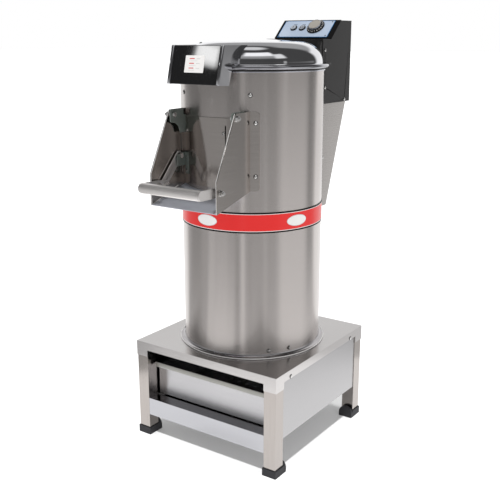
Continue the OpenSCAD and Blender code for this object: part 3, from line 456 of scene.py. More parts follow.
    # The drive's metals and the motor's paint, seen only with the lid open or from below.
    m["cast"] = grained("Cast aluminium, as cast", "#9A9C9F", "#85878A", 0.50, 3.0, 0.25, metal=1.0)
    m["iron"] = grained("Grey iron, machined", "#7A7B7E", "#66676A", 0.40, 2.0, 0.12, metal=1.0)
    m["enamel"] = grained("Stove enamel, dark blue grey", "#414B58", "#353E4A", 0.38, 6.0, 0.05)
    # Turned brass: yellow against all the steel.
    m["brass"] = grained("Brass, turned", "#C9AE68", "#B39852", 0.25, 2.0, 0.04, metal=1.0)


# Which finish each CAD node gets, and its edge rounding in millimetres.
FINISH = {
    "table": {"table_top": 0.0},
    "sheet_x": {"waste_basin": 0.4, "drawer": 0.5, "rear_panel": 0.3},
    "rail": {"front_rail": 0.6},
    # The side panels and runners take the darker copy of the sheet: painted shade.
    "sheet_y_shaded": {"side_panels": 0.3, "drawer_runners": 0.4},
    "sheet_z": {
        "legs": 1.6,
        "peel_pipe": 0.3,
        "drain_outlet": 0.3,
        "motor_plate": 0.5,
        "chamber_floor": 0.4,
        "peel_wipers": 0.4,
    },
    "drum": {"drum_shell": 0.0},
    "chute": {"chute_sides": 0.5, "discharge_door": 0.4},
    "blasted": {"chute_floor": 0.3},
    "duct": {"rear_duct": 0.6},
    "tube": {"handle_bar": 0.4, "lifting_handle": 0.6, "door_straps": 0.6},
    "mirror": {"lid_shell": 0.4, "lid_handle": 0.9, "lid_hinge_ears": 0.6, "drawer_strainer": 0.2},
    "ring": {"drum_rim": 0.5},
    "foot_ring": {"base_ring": 0.0},
    "bolts": {
        "case_screws": 0.3,
        "door_bolts": 0.4,
        "handle_bolts": 0.4,
        "chute_bolts": 0.4,
        "drive_shaft": 0.4,
        "disc_nut": 0.6,
        "shaft_bearings": 0.4,
        "motor_shaft": 0.4,
    },
    "hardware": {"door_hinge_plates": 0.6, "door_lugs": 0.6},
    "powder": {"control_box": 1.0, "box_cover": 0.4, "hinge_brackets": 0.8},
    "band": {"colour_band": 0.0},
    "line": {"band_trims": 0.2},
    "gloss": {"lid_plate": 2.2},
    "frame": {"fascia": 0.5},
    "rubber": {"feet": 2.2, "cable_gland": 0.6},
    "seal": {"lid_gasket": 0.4, "shaft_seal": 0.4, "drive_belt": 0.8},
    "abs": {"timer_knob": 0.5},
    "button": {"start_button": 0.6, "stop_button": 0.6},
    "grit": {"abrasive_liner": 0.5, "abrasive_disc": 1.5},
    "cast": {"bearing_housing": 1.0},
    "iron": {"large_pulley": 0.5, "motor_pulley": 0.5},
    "enamel": {"motor": 0.8},
    "brass": {"water_inlet": 0.5},
    "nylon": {"switch_bodies": 0.8},
}
# Facets that meet at less than this many degrees are one curved surface. Points nearer than DOUBLE, in metres, are
# one point.
FOLD = 28
DOUBLE = 2e-6


def smoothing_group():
    """A modifier that joins the facets' doubled points and shades them smooth up to a folded edge."""
    name = "Smooth facets"
    group = bpy.data.node_groups.get(name)
    if group:
        return group
    group = bpy.data.node_groups.new(name, "GeometryNodeTree")
    for way in ("INPUT", "OUTPUT"):
        group.interface.new_socket("Geometry", in_out=way, socket_type="NodeSocketGeometry")
    mesh = add(group, "NodeGroupInput").outputs["Geometry"]
    mesh = add(group, "GeometryNodeMergeByDistance", {"Geometry": mesh, "Distance": DOUBLE}).outputs["Geometry"]
    smooth = {"Geometry": mesh, "Shade Smooth": True}
    mesh = add(group, "GeometryNodeSetShadeSmooth", smooth, domain="FACE").outputs["Geometry"]
    fold = add(group, "GeometryNodeInputMeshEdgeAngle").outputs["Unsigned Angle"]
    steep = {0: fold, 1: math.radians(FOLD)}
    test = add(group, "FunctionNodeCompare", steep, data_type="FLOAT", operation="GREATER_THAN")
    sharp = {"Geometry": mesh, "Selection": test.outputs["Result"], "Shade Smooth": False}
    mesh = add(group, "GeometryNodeSetShadeSmooth", sharp, domain="EDGE").outputs["Geometry"]
    add(group, "NodeGroupOutput", {"Geometry": mesh})
    return group


def finish_node(name, material, width):
    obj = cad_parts[name]
    obj.data.materials.clear()
    obj.data.materials.append(material)
    normals = obj.data.attributes.get("custom_normal")
    if normals:
        obj.data.attributes.remove(normals)
    obj.modifiers.new("smooth", "NODES").node_group = smoothing_group()
    if width:
        bevel(obj, width)


# ---------------------------------------------------------------- settings


class PeelerSizes(bpy.types.PropertyGroup):
    rim_roll: bpy.props.FloatProperty(
        name="Lid rim roll",
        description="Radius of the lid's rolled rim",
        default=6 * MM,
        min=4 * MM,
        max=7 * MM,
        unit="LENGTH",
    )
    tick_count: bpy.props.IntProperty(
        name="Dial ticks", description="Ticks round the timer knob's skirt", default=20, min=8, max=60
    )
    flutes: bpy.props.IntProperty(
        name="Knob flutes", description="Grip flutes round the knob's cap", default=40, min=12, max=60
    )


class PeelerColours(bpy.types.PropertyGroup):
    floor: bpy.props.FloatProperty(
        name="Floor",
        description="Floor's own brightness to the camera",
        default=0.18,
        min=0,
        max=1,
        subtype="FACTOR",
    )
    room: bpy.props.FloatProperty(
        name="Room light", description="Strength of the room's even light", default=0.75, min=0, max=3
    )
    lamp: bpy.props.FloatProperty(
        name="Lamp", description="Strength of the overhead lamp", default=1.7, min=0, max=20
    )
    floor_lamp: bpy.props.FloatProperty(
        name="Floor lamp", description="Strength of the floor's own lamp", default=4.3, min=0, max=20
    )


def sizes():
    return bpy.context.scene.peeler_sizes


def colours():
    return bpy.context.scene.peeler_colours


# ---------------------------------------------------------------- pieces


class PEELER_OT_finishes(bpy.types.Operator):
    """Gives every CAD node its material, smooth curves and softened edges"""

    bl_idname = "peeler.finishes"
    bl_label = "Finishes"

    def execute(self, context):
        make_materials()
        for key, group in FINISH.items():
            for name, width in group.items():
                finish_node(name, MATERIALS[key], width)
        return {"FINISHED"}


# The lid's spun sheet: its thickness, how far the flange lies over the gasket's top, how deep the groove beside
# the dome is, the radii of the dome's foot and of its flatter crown, and how far the crown rises.
LID_Z, DOME_TOP = girth("lid_gasket")[2], girth("lid_shell")[2]
LID_SHEET, FLANGE_RISE, GROOVE_DEPTH = 1.5, 12, 2.6
DOME_FOOT, CROWN_R, CROWN_RISE = 196, 114, 6
# The rim's outer radius, half its height, and the radius from which it takes a darker, rougher copy of the dome's
# steel: painted shade on the rim.
RIM_R, RIM_HALF, SHADED_RIM_FROM = 213, 6, 199
# The tongue behind the dome: how far back and how wide it reaches, its corners, the arc that it shares with the
# rim's inside and the circle that its sides run into. Its faces lie at these heights over the gasket's top.
TONGUE_REACH, TONGUE_HALF, TONGUE_CORNER, TONGUE_INNER, TONGUE_MEETS = 206, 140, 9, 204, 207
TONGUE_Z = (3, 11.2)
# The mouldings beside the handle's plate: where they lie across it, half their width, their height, and how they
# round off at the ends, as (distance from the end, share of the height).
MOULDING_X, MOULDING_HALF, MOULDING_HEIGHT, MOULDING_STEPS = 79, 4.7, 4.2, 16
MOULDING_END = ((0.4, 0.2), (1.2, 0.75), (3.0, 1.0))
STUD_AT, STUD_WAY = (-77, -131, 1144.6), Vector((-0.13, -0.23, 0.96))
# A closed profile that ends on the axis stops this far short of it.
POLE = 0.01


def dome_profile(inset=0.0, steps=40, crown_steps=10):
    """The dome from its flange to the axis, as (radius, height above the flange's top), inset for its inside."""
    height = DOME_TOP - LID_Z - FLANGE_RISE - inset
    points = [(DOME_FOOT - inset, 0.0)]
    for i in range(1, steps + 1):
        a = math.pi / 2 * i / steps
        wide, tall = DOME_FOOT - CROWN_R - inset, height - CROWN_RISE
        points.append((CROWN_R + wide * math.cos(a) ** 0.8, tall * math.sin(a) ** 0.9))
    for i in range(1, crown_steps + 1):
        share = 1 - i / crown_steps
        points.append((CROWN_R * share, height - CROWN_RISE * share * share))
    return points


class PEELER_OT_lid(bpy.types.Operator):
    """Spun and polished lid with its rolled rim, its rear tongue and the handle's mouldings"""

    bl_idname = "peeler.lid"
    bl_label = "Lid"

    def execute(self, context):
        self.dome()
        self.tongue()
        self.mouldings()
        self.stud()
        return {"FINISHED"}

    def dome(self):
        """The dome, the groove at its foot and the rolled rim, as one spun sheet."""
        roll, top = sizes().rim_roll / MM, LID_Z + FLANGE_RISE
        rim = arc(RIM_R - roll, LID_Z + RIM_HALF, roll, RIM_HALF, -math.pi / 2, math.pi * 0.7, 18)
        steps = ((5.4, 0), (3.4, 0), (2.2, 0.4), (1.2, 1.4), (0.5, 2.4))
        groove = [(DOME_FOOT + out, top - GROOVE_DEPTH + up) for out, up in steps]
        outer = [(r, top + z) for r, z in dome_profile()]
        inner = [(r, top + z) for r, z in dome_profile(LID_SHEET)][::-1]
        profile = [(DOME_FOOT - LID_SHEET, LID_Z)] + rim + groove + outer[1:] + inner[:-1]
        skin = piece("lid_skin", revolved(profile, ROUND), ON_AXIS, "lid", "mirror", 50)
        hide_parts("lid_shell")
        skin.data.materials.append(MATERIALS["rolled"])
        # Faces past that radius take the darker copy of the steel: painted shade on the rim.
        for face in skin.data.polygons:
            if math.hypot(face.center.x, face.center.y - AXIS_Y) > SHADED_RIM_FROM * MM:
                face.material_index = 1

    def tongue(self):
        """The flat tongue behind the dome, whose sides run straight into the rim."""
        x, y = TONGUE_HALF - TONGUE_CORNER, TONGUE_REACH - TONGUE_CORNER
        lean = math.atan2(y, x) - math.acos((TONGUE_MEETS - TONGUE_CORNER) / math.hypot(x, y))
        right = arc(x, y, TONGUE_CORNER, TONGUE_CORNER, lean, math.pi / 2, 6)
        left = [(-x, y) for x, y in reversed(right)]
        inside = arc(0, 0, TONGUE_INNER, TONGUE_INNER, math.pi - lean, lean, 40)
        part = extruded(right + left + inside, *(LID_Z + z for z in TONGUE_Z))
        bevel(piece("lid_tongue", part, ON_AXIS, "lid", "mirror"), 2.6, 4)

    def mouldings(self):
        """A half-round polished moulding down each side of the handle's black plate."""
        rings = list(MOULDING_END) + [(HANDLE_RISE - u, full) for u, full in reversed(MOULDING_END)]
        count = MOULDING_STEPS + 1
        parts = []
        for side in (-1, 1):
            verts, faces = [], []
            for u, full in rings:
                for i in range(count):
                    a = math.pi * i / MOULDING_STEPS
                    x, z = MOULDING_X + MOULDING_HALF * math.cos(a), MOULDING_HEIGHT * full * math.sin(a)
                    verts.append(Vector((side * x, u, z)))
            for k in range(len(rings) - 1):
                faces += joined(k * count, (k + 1) * count, count)
            faces += [tuple(range(count)), tuple((len(rings) - 1) * count + i for i in range(count))]
            parts.append((verts, faces))
        piece("handle_mouldings", merged(parts), on_handle(), "lid", "mirror", 60)

    def stud(self):
        """The button-head stud on the dome behind the handle."""
        head = [(POLE, -3.0), (4.6, -3.0), (4.6, 0.4), (4.2, 1.6), (3.0, 2.6), (1.4, 3.1), (POLE, 3.2)]
        lean = STUD_WAY.to_track_quat("Z", "Y").to_matrix().to_4x4()
        place = Matrix.Translation(at(*STUD_AT)) @ lean
        piece("lid_stud", revolved(head, 32), place, "lid", "hardware", 40)


# The printed sheet's border on the fascia: its left and right edge, how far it stays from the slope's lower and
# upper edge, its width, and how far its face lies under the sheet's.
BORDER_LEFT, BORDER_RIGHT, BORDER_LOW, BORDER_WIDTH, BORDER_DROP = -91, 83, 4, 1.6, 0.2
# The dash printed over each button: half its length, and its lower and upper edge.
DASH_HALF, DASH_U = 6, (57.6, 59.4)
PANEL_SCREWS = ((-87, 74), (75, 70), (75.5, 10), (-87, 8))


class PEELER_OT_fascia(bpy.types.Operator):
    """Satin bezel, printed panel with its blue border, its screws and the buttons' bezels"""

    bl_idname = "peeler.fascia"
    bl_label = "Fascia"

    def execute(self, context):
        place = on_fascia(0, 0)
        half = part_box("fascia")[1].x / MM
        plate = extruded(rounded_box(-half, 0.1, half, FASCIA_LENGTH, 1.5), 0, BEZEL_TOP)
        bezel = piece("fascia_bezel", plate, place, "frame", "frame")
        bevel(bezel, 0.5)
        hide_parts("fascia")
        edges = (BORDER_LEFT, BORDER_LOW, BORDER_RIGHT, FASCIA_LENGTH - BORDER_LOW)
        border = extruded(rounded_box(*edges, 1.2), BEZEL_TOP, SHEET_TOP - BORDER_DROP)
        piece("fascia_border", border, place, "frame", "blue_ink")
        inset = [edge + BORDER_WIDTH * way for edge, way in zip(edges, (1, 1, -1, -1))]
        sheet = extruded(rounded_box(*inset, 0.8), BEZEL_TOP, SHEET_TOP)
        bevel(piece("fascia_sheet", sheet, place, "frame", "panel"), 0.2)
        marks, rings = [], []
        rim = [(8.4, 3.5), (11.2, 3.5), (11.2, 4.8), (10.6, 5.8), (9.4, 6.2), (8.4, 5.8)]
        for x in BUTTONS_X:
            dash = rounded_box(x - DASH_HALF, DASH_U[0], x + DASH_HALF, DASH_U[1], 0.6)
            marks.append(extruded(dash, SHEET_TOP, SHEET_TOP + INK))
            rings.append(moved(revolved(rim, 48), Matrix.Translation((x, BUTTONS_U, 0))))
        piece("fascia_marks", merged(marks), place, "frame", "dark_ink")
        piece("button_bezels", merged(rings), place, "frame", "abs")
        head = [(POLE, 3.5), (2.2, 3.5), (2.2, 4.2), (1.6, 4.7), (POLE, 4.8)]
        heads = [moved(revolved(head, 24), Matrix.Translation((x, u, 0))) for x, u in PANEL_SCREWS]
        piece("fascia_screws", merged(heads), place, "frame", "hardware")
        return {"FINISHED"}


# The knob's knurled wall: its radius, the flutes' depth, and its lower and upper edge over the slope.
KNURL_R, FLUTE_DEPTH, KNURL_Z = 19.9, 0.5, (8.6, 13.4)
# The ticks on the skirt: the radius and height at which each starts, the skirt's slope there in degrees, half a
# tick's width, its thickness, and the lengths of the two kinds.
TICK_FROM, TICK_Z, TICK_LEAN, TICK_HALF, TICK_THICK, TICK_LENGTHS = 22.9, 8.66, 23, 0.8, 0.15, (3.6, 2.4)
# The buttons' top face over the slope.
BUTTON_TOP = 8.5


class PEELER_OT_controls(bpy.types.Operator):
    """Timer knob with its skirt, ticks and knurled cap, and the marks on the two push buttons"""

    bl_idname = "peeler.controls"
    bl_label = "Knob and buttons"

    def execute(self, context):
        place = on_fascia(*KNOB_AT)
        skirt = [(4, 3.8), (28.4, 3.8), (28.4, 4.8), (27.6, 6.2), (25.4, 7.8), (22.4, 8.8), (4, 8.8)]
        knob = piece("knob_skirt", revolved(skirt, 96), place, "timer", "abs")
        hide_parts("timer_knob")
        self.cap(place)
        self.ticks(place)
        self.button_marks()
        return {"FINISHED"}

    def cap(self, place):
        """A low turned cap: a knurled wall, a bright chamfer and a satin face sunk a little below it."""
        count = sizes().flutes * 4
        wall = [polar(KNURL_R - FLUTE_DEPTH * (i % 4 < 2), 2 * math.pi * i / count).xy for i in range(count)]
        piece("knob_knurl", extruded(wall, *KNURL_Z), place, "timer", "bolts")
        rim = [(18.2, 13.2), (19.4, 13.2), (19.7, 13.9), (19.3, 14.7), (18.6, 14.9), (18.2, 14.6)]
        piece("knob_rim", revolved(rim, 96), place, "timer", "ring")
        face = [(POLE, 13.0), (18.3, 13.0), (18.3, 14.1), (17.6, 14.3), (9.0, 14.25), (POLE, 14.2)]
        piece("knob_face", revolved(face, 96), place, "timer", "cap")

    def ticks(self, place):
        """White dashes printed round the skirt's slope."""
        ticks, count = [], sizes().tick_count
        lean = Matrix.Translation((0, TICK_FROM, TICK_Z)) @ Matrix.Rotation(math.radians(-TICK_LEAN), 4, "X")
        for i in range(count):
            long = TICK_LENGTHS[i % 2]
            outline = [(-TICK_HALF, 0), (TICK_HALF, 0), (TICK_HALF, long), (-TICK_HALF, long)]
            tick = extruded(outline, 0, TICK_THICK)
            ticks.append(moved(tick, Matrix.Rotation(2 * math.pi * i / count, 4, "Z") @ lean))
        piece("knob_ticks", merged(ticks), place, "timer", "white")

    def button_marks(self):
        """A plain bar for on and a plain ring for off."""
        low, high = BUTTON_TOP, BUTTON_TOP + INK
        bar = extruded(rounded_box(-1.3, -4.6, 1.3, 4.6, 0.6), low, high)
        ring = revolved([(3.2, low), (5.4, low), (5.4, high), (3.2, high)], 40)
        for body, part, x in (("start", bar, BUTTONS_X[0]), ("stop", ring, BUTTONS_X[1])):
            piece(body + "_mark", part, on_fascia(x, BUTTONS_U), body, "dark_ink")


# The card on the handle's plate: its corners, the thickness of card and print, and where its first bar is and how
# far apart the bars are.
CARD, CARD_TOP, PRINT_TOP, FIRST_BAR, BAR_PITCH = (-33, 30.5, 28, 74), 0.3, 0.4, 66, 12
# The ovals on the band: their bearings in degrees from +X, half their width and height, their pale rim's width, and
# how far their backs, rims and faces stand off the band.
OVALS, OVAL_HALF, OVAL_RIM = {"oval_left": -93.3, "oval_right": -18.1}, (34, 15.5), 1.6
BACK_LIFT, RIM_LIFT, FACE_LIFT = 0.05, 0.25, 0.4


class PEELER_OT_label(bpy.types.Operator):
    """Plain white card with three bars on the lid handle's black plate, and two plain ovals on the band"""

    bl_idname = "peeler.label"
    bl_label = "Card and ovals"

    def execute(self, context):
        self.card()
        radius, foot, top = girth("colour_band")
        for name, bearing in OVALS.items():
            for end, inset, lift, ink in (("_rim", 0, RIM_LIFT, "grey_ink"), ("", OVAL_RIM, FACE_LIFT, "white")):
                half = [size - inset for size in OVAL_HALF]
                part = self.oval(bearing, (foot + top) / 2, half, radius + BACK_LIFT, radius + lift)
                piece(name + end, part, ON_AXIS, "frame", ink)
        return {"FINISHED"}

    def card(self):
        place = on_handle()
        card = extruded(rounded_box(*CARD, 1.2), 0, CARD_TOP)
        piece("lid_card", card, place, "lid", "white")
        bars, lines = [], []
        # In each row a thick bar, a short line at its right, and a thin line under both that is shorter each time.
        for i in range(3):
            u = FIRST_BAR - i * BAR_PITCH
            bars.append(rounded_box(-20, u - 1.1, -4, u + 1.1, 1.0))
            lines.append(rounded_box(2, u - 0.8, 14, u + 0.4, 0.3))
            lines.append(rounded_box(-20, u - 6, 6 - 4 * i, u - 5.4, 0.3))
        for name, prints, ink in (("lid_card_bars", bars, "red_ink"), ("lid_card_lines", lines, "grey_ink")):
            part = merged([extruded(outline, CARD_TOP, PRINT_TOP) for outline in prints])
            piece(name, part, place, "lid", ink)

    @staticmethod
    def oval(bearing, height, half, inner, outer, steps=48, rings=5):
        """A thin oval that lies on the drum's curve: rings from its middle out."""
        way = math.radians(bearing)
        verts, faces = [], []
        for r in (inner, outer):
            for k in range(1, rings + 1):
                wide, tall = (size * k / rings for size in half)
                for i in range(steps):
                    a = 2 * math.pi * i / steps
                    verts.append(polar(r, way + wide * math.cos(a) / r, height + tall * math.sin(a)))
            verts.append(polar(r, way, height))
        block = rings * steps + 1
        for base in (0, block):
            faces += [(base + block - 1, base + i, base + (i + 1) % steps) for i in range(steps)]
            for k in range(rings - 1):
                ring = base + k * steps
                faces += [(a, d, c, b) for a, b, c, d in joined(ring, ring + steps, steps)]
        last = (rings - 1) * steps
        return verts, faces + joined(last, block + last, steps)


# The lip of the ring at the drum's foot: how far in from the ring's edge its middle lies, its height and radius.
LIP_INSET, LIP_Z, LIP_R = 1.0, 2.5, 1.3
# The black lines that edge the band: their height, and how far they stand out from it.
LINE_HEIGHT, LINE_LIFT = 4.2, 0.25
# The chute's side plate: its cut edge from the top at the drum round to the foot, as (y, z), the radius of the
# pale bead that paints a highlight along it, and how far in from the chute's side its middle lies.
CHUTE_EDGE = ((-234.0, 974.4), (-313.9, 812.8), (-313.9, 730.4), (-203.0, 767.6))
EDGE_R, EDGE_INSET = 1.15, 1.0
# The drawer's grip strip: how far it stops short of each end, its edges from the lip's top, and its face and back
# from the lip's face.
GRIP_END, GRIP_Z, GRIP_Y = 5.5, (-13.2, -0.3), (-0.9, 0.2)
# The height of a case screw's head.
SCREW_HEAD = 3.0


class PEELER_OT_trims(bpy.types.Operator):
    """Black lines round the band, pale beads as painted highlights on the foot ring's lip and the chute's edges, the
    drawer's grip strip, and black rings under the screws as painted shade
    """

    bl_idname = "peeler.trims"
    bl_label = "Trims"

    def execute(self, context):
        self.ring_bead()
        self.band_lines()
        self.chute_edge_highlights()
        self.grip_strip()
        self.shade_rings()
        return {"FINISHED"}

    def ring_bead(self):
        """The rounded lip of the ring at the drum's foot, in the pale edge finish: a painted highlight along the ring's
        front.
        """
        reach, foot, _ = girth("base_ring")
        lip = arc(reach - LIP_INSET, foot + LIP_Z, LIP_R, LIP_R, 0, math.pi * 11 / 6, 11)
        piece("base_ring_lip_highlight", revolved(lip, ROUND), ON_AXIS, "frame", "edge", 60)

    def band_lines(self):
        reach, foot, top = girth("colour_band")
        out, parts = reach + LINE_LIFT, []
        for z0 in (foot - LINE_HEIGHT, top):
            z1 = z0 + LINE_HEIGHT
            profile = [(DRUM_R, z0), (reach, z0), (out, z0 + 0.3), (out, z1 - 0.3), (reach, z1), (DRUM_R, z1)]
            parts.append(revolved(profile, ROUND))
        lines = piece("band_lines", merged(parts), ON_AXIS, "frame", "line")
        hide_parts("band_trims")

    def chute_edge_highlights(self):
        """Pale round beads on the cut edges of the chute's two side plates: painted highlights along the edges."""
        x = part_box("chute_floor")[1].x / MM - EDGE_INSET
        parts = [tube([Vector((side * x, y, z)) for y, z in CHUTE_EDGE], EDGE_R) for side in (-1, 1)]
        piece("chute_edge_highlights", merged(parts), ON_AXIS, "frame", "edge", 60)

    def grip_strip(self):
        """A satin strip along the drawer's upturned lip."""
        low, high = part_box("drawer")
        half, top = high.x / MM - GRIP_END, high.z / MM
        outline = rounded_box(top + GRIP_Z[0], GRIP_Y[0], top + GRIP_Z[1], GRIP_Y[1], 0.5, 3)
        place = Matrix(((0, 0, 1, 0), (0, 1, 0, low.y), (1, 0, 0, 0), (0, 0, 0, 1)))
        piece("drawer_grip", extruded(outline, -half, half), place, "drawer", "strip")

    def shade_rings(self):
        """A thin black ring under each case screw's head: painted shade standing in for the dark contact shadow and
        reflection round the head.
        """
        parts = []
        ring = revolved([(2.6, 0.0), (6.1, 0.0), (6.1, 0.35), (5.6, 0.7), (2.6, 0.7)], 28)
        for centre, way, top in screw_heads("case_screws"):
            foot = centre + way * (top - centre.dot(way) - SCREW_HEAD * MM)
            turn = way.to_track_quat("Z", "Y").to_matrix().to_4x4()
            parts.append(moved(ring, Matrix.Translation(foot / MM) @ turn))
        piece("screw_shade_rings", merged(parts), Matrix(), "frame", "seal")


def screw_heads(node):
    """Each screw's middle, the way it points and how far its head reaches that way, from the node's own mesh."""
    bm = bmesh.new()
    bm.from_mesh(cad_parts[node].data)
    bmesh.ops.remove_doubles(bm, verts=bm.verts, dist=DOUBLE)
    seen, found = set(), []
    for first in bm.verts:
        if first in seen:
            continue
        seen.add(first)
        stack, group = [first], []
        while stack:
            vert = stack.pop()
            group.append(vert.co.copy())
            for edge in vert.link_edges:
                other = edge.other_vert(vert)
                if other not in seen:
                    seen.add(other)
                    stack.append(other)
        low = Vector([min(v[k] for v in group) for k in range(3)])
        high = Vector([max(v[k] for v in group) for k in range(3)])
        centre, size = (low + high) / 2, high - low
        way = Vector((centre.x, centre.y - AXIS_Y, 0)).normalized()
        # A screw as wide as it is high and shorter along X stands in a side plate, not in the drum.
        if abs(size.y - size.z) < 0.3 * MM and size.x < size.y:
            way = Vector((math.copysign(1, centre.x), 0, 0))
        found.append((centre, way, max(v.dot(way) for v in group)))
    bm.free()
    return found


# ---------------------------------------------------------------- stage
# What stands round the object and shows in its steel. The cove is a round wall under a dome, and only shine sees it.
# On the wall: compass direction from +X, half width and soft edge in degrees, lowest and highest point in metres,
# and brightness. Later ones stand in front of earlier ones.
WALL_LEVEL = 0.53
WALL_CARDS = (
    ("pale wall, right", 12, 26, 15, -0.3, 3.0, 0.87),
    ("white wall, behind", 118, 58, 10, -0.3, 3.0, 1.15),
    ("dark flag, right", 47, 6, 5, 0.15, 1.3, 0.42),
    ("dark flag, left", -155, 13, 9, 0.1, 1.2, 0.40),
    ("front shade", -84, 9, 9, -0.3, 1.3, 0.41),
    ("pale floor, left", -106, 24, 7, -0.5, 0.0, 0.98),
    ("white card, left", -121, 6, 4, -0.3, 0.3, 0.80),
    ("strip lamp", -69.5, 3.6, 1.2, -0.5, 1.6, 0.84),
    ("gap beside the strip lamp", -59, 2, 3, -0.5, 1.6, 0.47),
    ("narrow strip", -36, 1.5, 3, -0.3, 1.6, 0.66),
    ("pale floor, right", 52, 18, 10, -0.5, 0.02, 0.84),
)
# How softly a card's lower and upper edge fade on the wall, in metres.
WALL_SOFT = 0.12
# The wall darkens upward by this share, from this height and over this height in metres.
WALL_FADE, FADE_FROM, FADE_OVER = 0.22, 0.25, 0.5
# On the dome: compass direction, half width and soft edge, lowest and highest elevation and soft edge, all in
# degrees, and brightness.
DOME_LEVEL = 0.07
DOME_CARDS = (
    ("back wall, upper", 122, 56, 18, 30, 68, 12, 0.42),
    ("back wall, lower", 120, 56, 12, -20, 33, 8, 1.08),
    ("front horizon", -8, 64, 10, -20, 8, 5, 0.24),
    ("strip at the right", -5, 2.5, 2, -5, 14, 4, 0.44),
    ("soft box skirt", -42, 36, 12, 28, 44, 9, 0.38),
    ("soft box", -44, 27, 10, 41, 61, 7, 1.25),
    ("soft box, falling end", -9, 9, 8, 27, 48, 6, 0.95),
    ("ceiling", 118, 180, 1, 79, 120, 9, 0.85),
    ("window", -123.4, 1.9, 1.0, 20.9, 24.1, 0.7, 5.0),
)
# In metres: the cove's radius, its foot's inner radius, its clearance from the floor and the wall's height.
COVE_RADIUS, COVE_FOOT, COVE_LIFT, WALL_TOP = 1.6, 0.78, 0.004, 1.0
# Its rings across the foot, up the wall and over the dome, and its points round. Then the step between two rings, in
# metres on the wall and in degrees on the dome.
FOOT_RINGS, WALL_RINGS, DOME_RINGS, COVE_TURNS = 8, 20, 121, 720
WALL_STEP, DOME_STEP = 0.05, 0.75
# The flat foot takes its brightness as if it sloped down from the wall at this many degrees, and the dome takes over
# from the wall within this many.
FOOT_SLOPE, TAKE_OVER = 15, 4
# The dome's last ring is this share of its radius, so that its points stay apart.
CROWN_SHARE = 0.0005
# The overhead lamp's and the floor lamp's width in degrees. The floor lamp shines down, back and to the left.
LAMP_WIDTH, FLOOR_LAMP_WIDTH, FLOOR_LAMP_WAY = 5, 2.5, Vector((-0.22, 0.36, -1.0))
# In metres: how high the lamps stand, and half the floor's side.
LAMP_HEIGHT, FLOOR_HALF = 4.0, 60
# The floor's paint, as the lamps and the object see it.
FLOOR_PAINT = 0.5
# Only these throw the floor lamp's shadow.
STAND_NODES = ("table_top", "legs", "feet", "front_rail", "side_panels", "rear_panel", "waste_basin", "drawer")
# The camera at the photograph's viewing angle: its focal length and sensor width in millimetres, its place in
# millimetres from the drum's axis, and how far it looks down and is turned left in degrees.
LENS, SENSOR, CAMERA_AT, CAMERA_DOWN, CAMERA_LEFT = 57.29, 36.0, (1283.4, -1868.5, 1160.1), 14.97, 34.64


def soft_step(value):
    value = min(max(value, 0.0), 1.0)
    return value * value * (3 - 2 * value)


def within(value, low, high, edge):
    return soft_step((value - low) / edge + 0.5) * soft_step((high - value) / edge + 0.5)


def bearing_cover(degrees, centre, half, edge):
    off = abs((degrees - centre + 180) % 360 - 180)
    return soft_step((half + edge / 2 - off) / edge)


def wall_level(degrees, height):
    """Brightness of the cove's wall in one direction and at one height, in metres."""
    level = WALL_LEVEL
    for _, centre, half, edge, low, high, bright in WALL_CARDS:
        level += (bright - level) * bearing_cover(degrees, centre, half, edge) * within(height, low, high, WALL_SOFT)
    return level * (1.0 - WALL_FADE * soft_step((height - FADE_FROM) / FADE_OVER))


def dome_level(degrees, elevation):
    """Brightness of the dome over the wall in one direction and at one elevation, in degrees."""
    level = DOME_LEVEL
    for _, centre, half, edge, low, high, soft, bright in DOME_CARDS:
        level += (bright - level) * bearing_cover(degrees, centre, half, edge) * within(elevation, low, high, soft)
    if elevation < TAKE_OVER:
        wall = wall_level(degrees, WALL_TOP)
        level = wall + (level - wall) * soft_step(elevation / TAKE_OVER)
    return level


def cove_rings():
    """The cove's rings from its foot up, as (radius, height, what gives its brightness, where on that)."""
    span, rise = COVE_RADIUS - COVE_FOOT, math.tan(math.radians(FOOT_SLOPE))
    rings = []
    for i in range(FOOT_RINGS):
        share = i / FOOT_RINGS
        rings.append((COVE_FOOT + span * share, COVE_LIFT, wall_level, -span * (1 - share) * rise))
    for i in range(WALL_RINGS):
        rings.append((COVE_RADIUS, COVE_LIFT + WALL_STEP * i, wall_level, WALL_STEP * i))
    for i in range(DOME_RINGS):
        e = math.radians(DOME_STEP * i)
        radius = COVE_RADIUS * max(math.cos(e), CROWN_SHARE)
        rings.append((radius, WALL_TOP + COVE_RADIUS * math.sin(e), dome_level, DOME_STEP * i))
    return rings


def stand_up(name, data):
    """A stage object, linked into the scene."""
    obj = bpy.data.objects.new(name, data)
    bpy.context.scene.collection.objects.link(obj)
    return obj


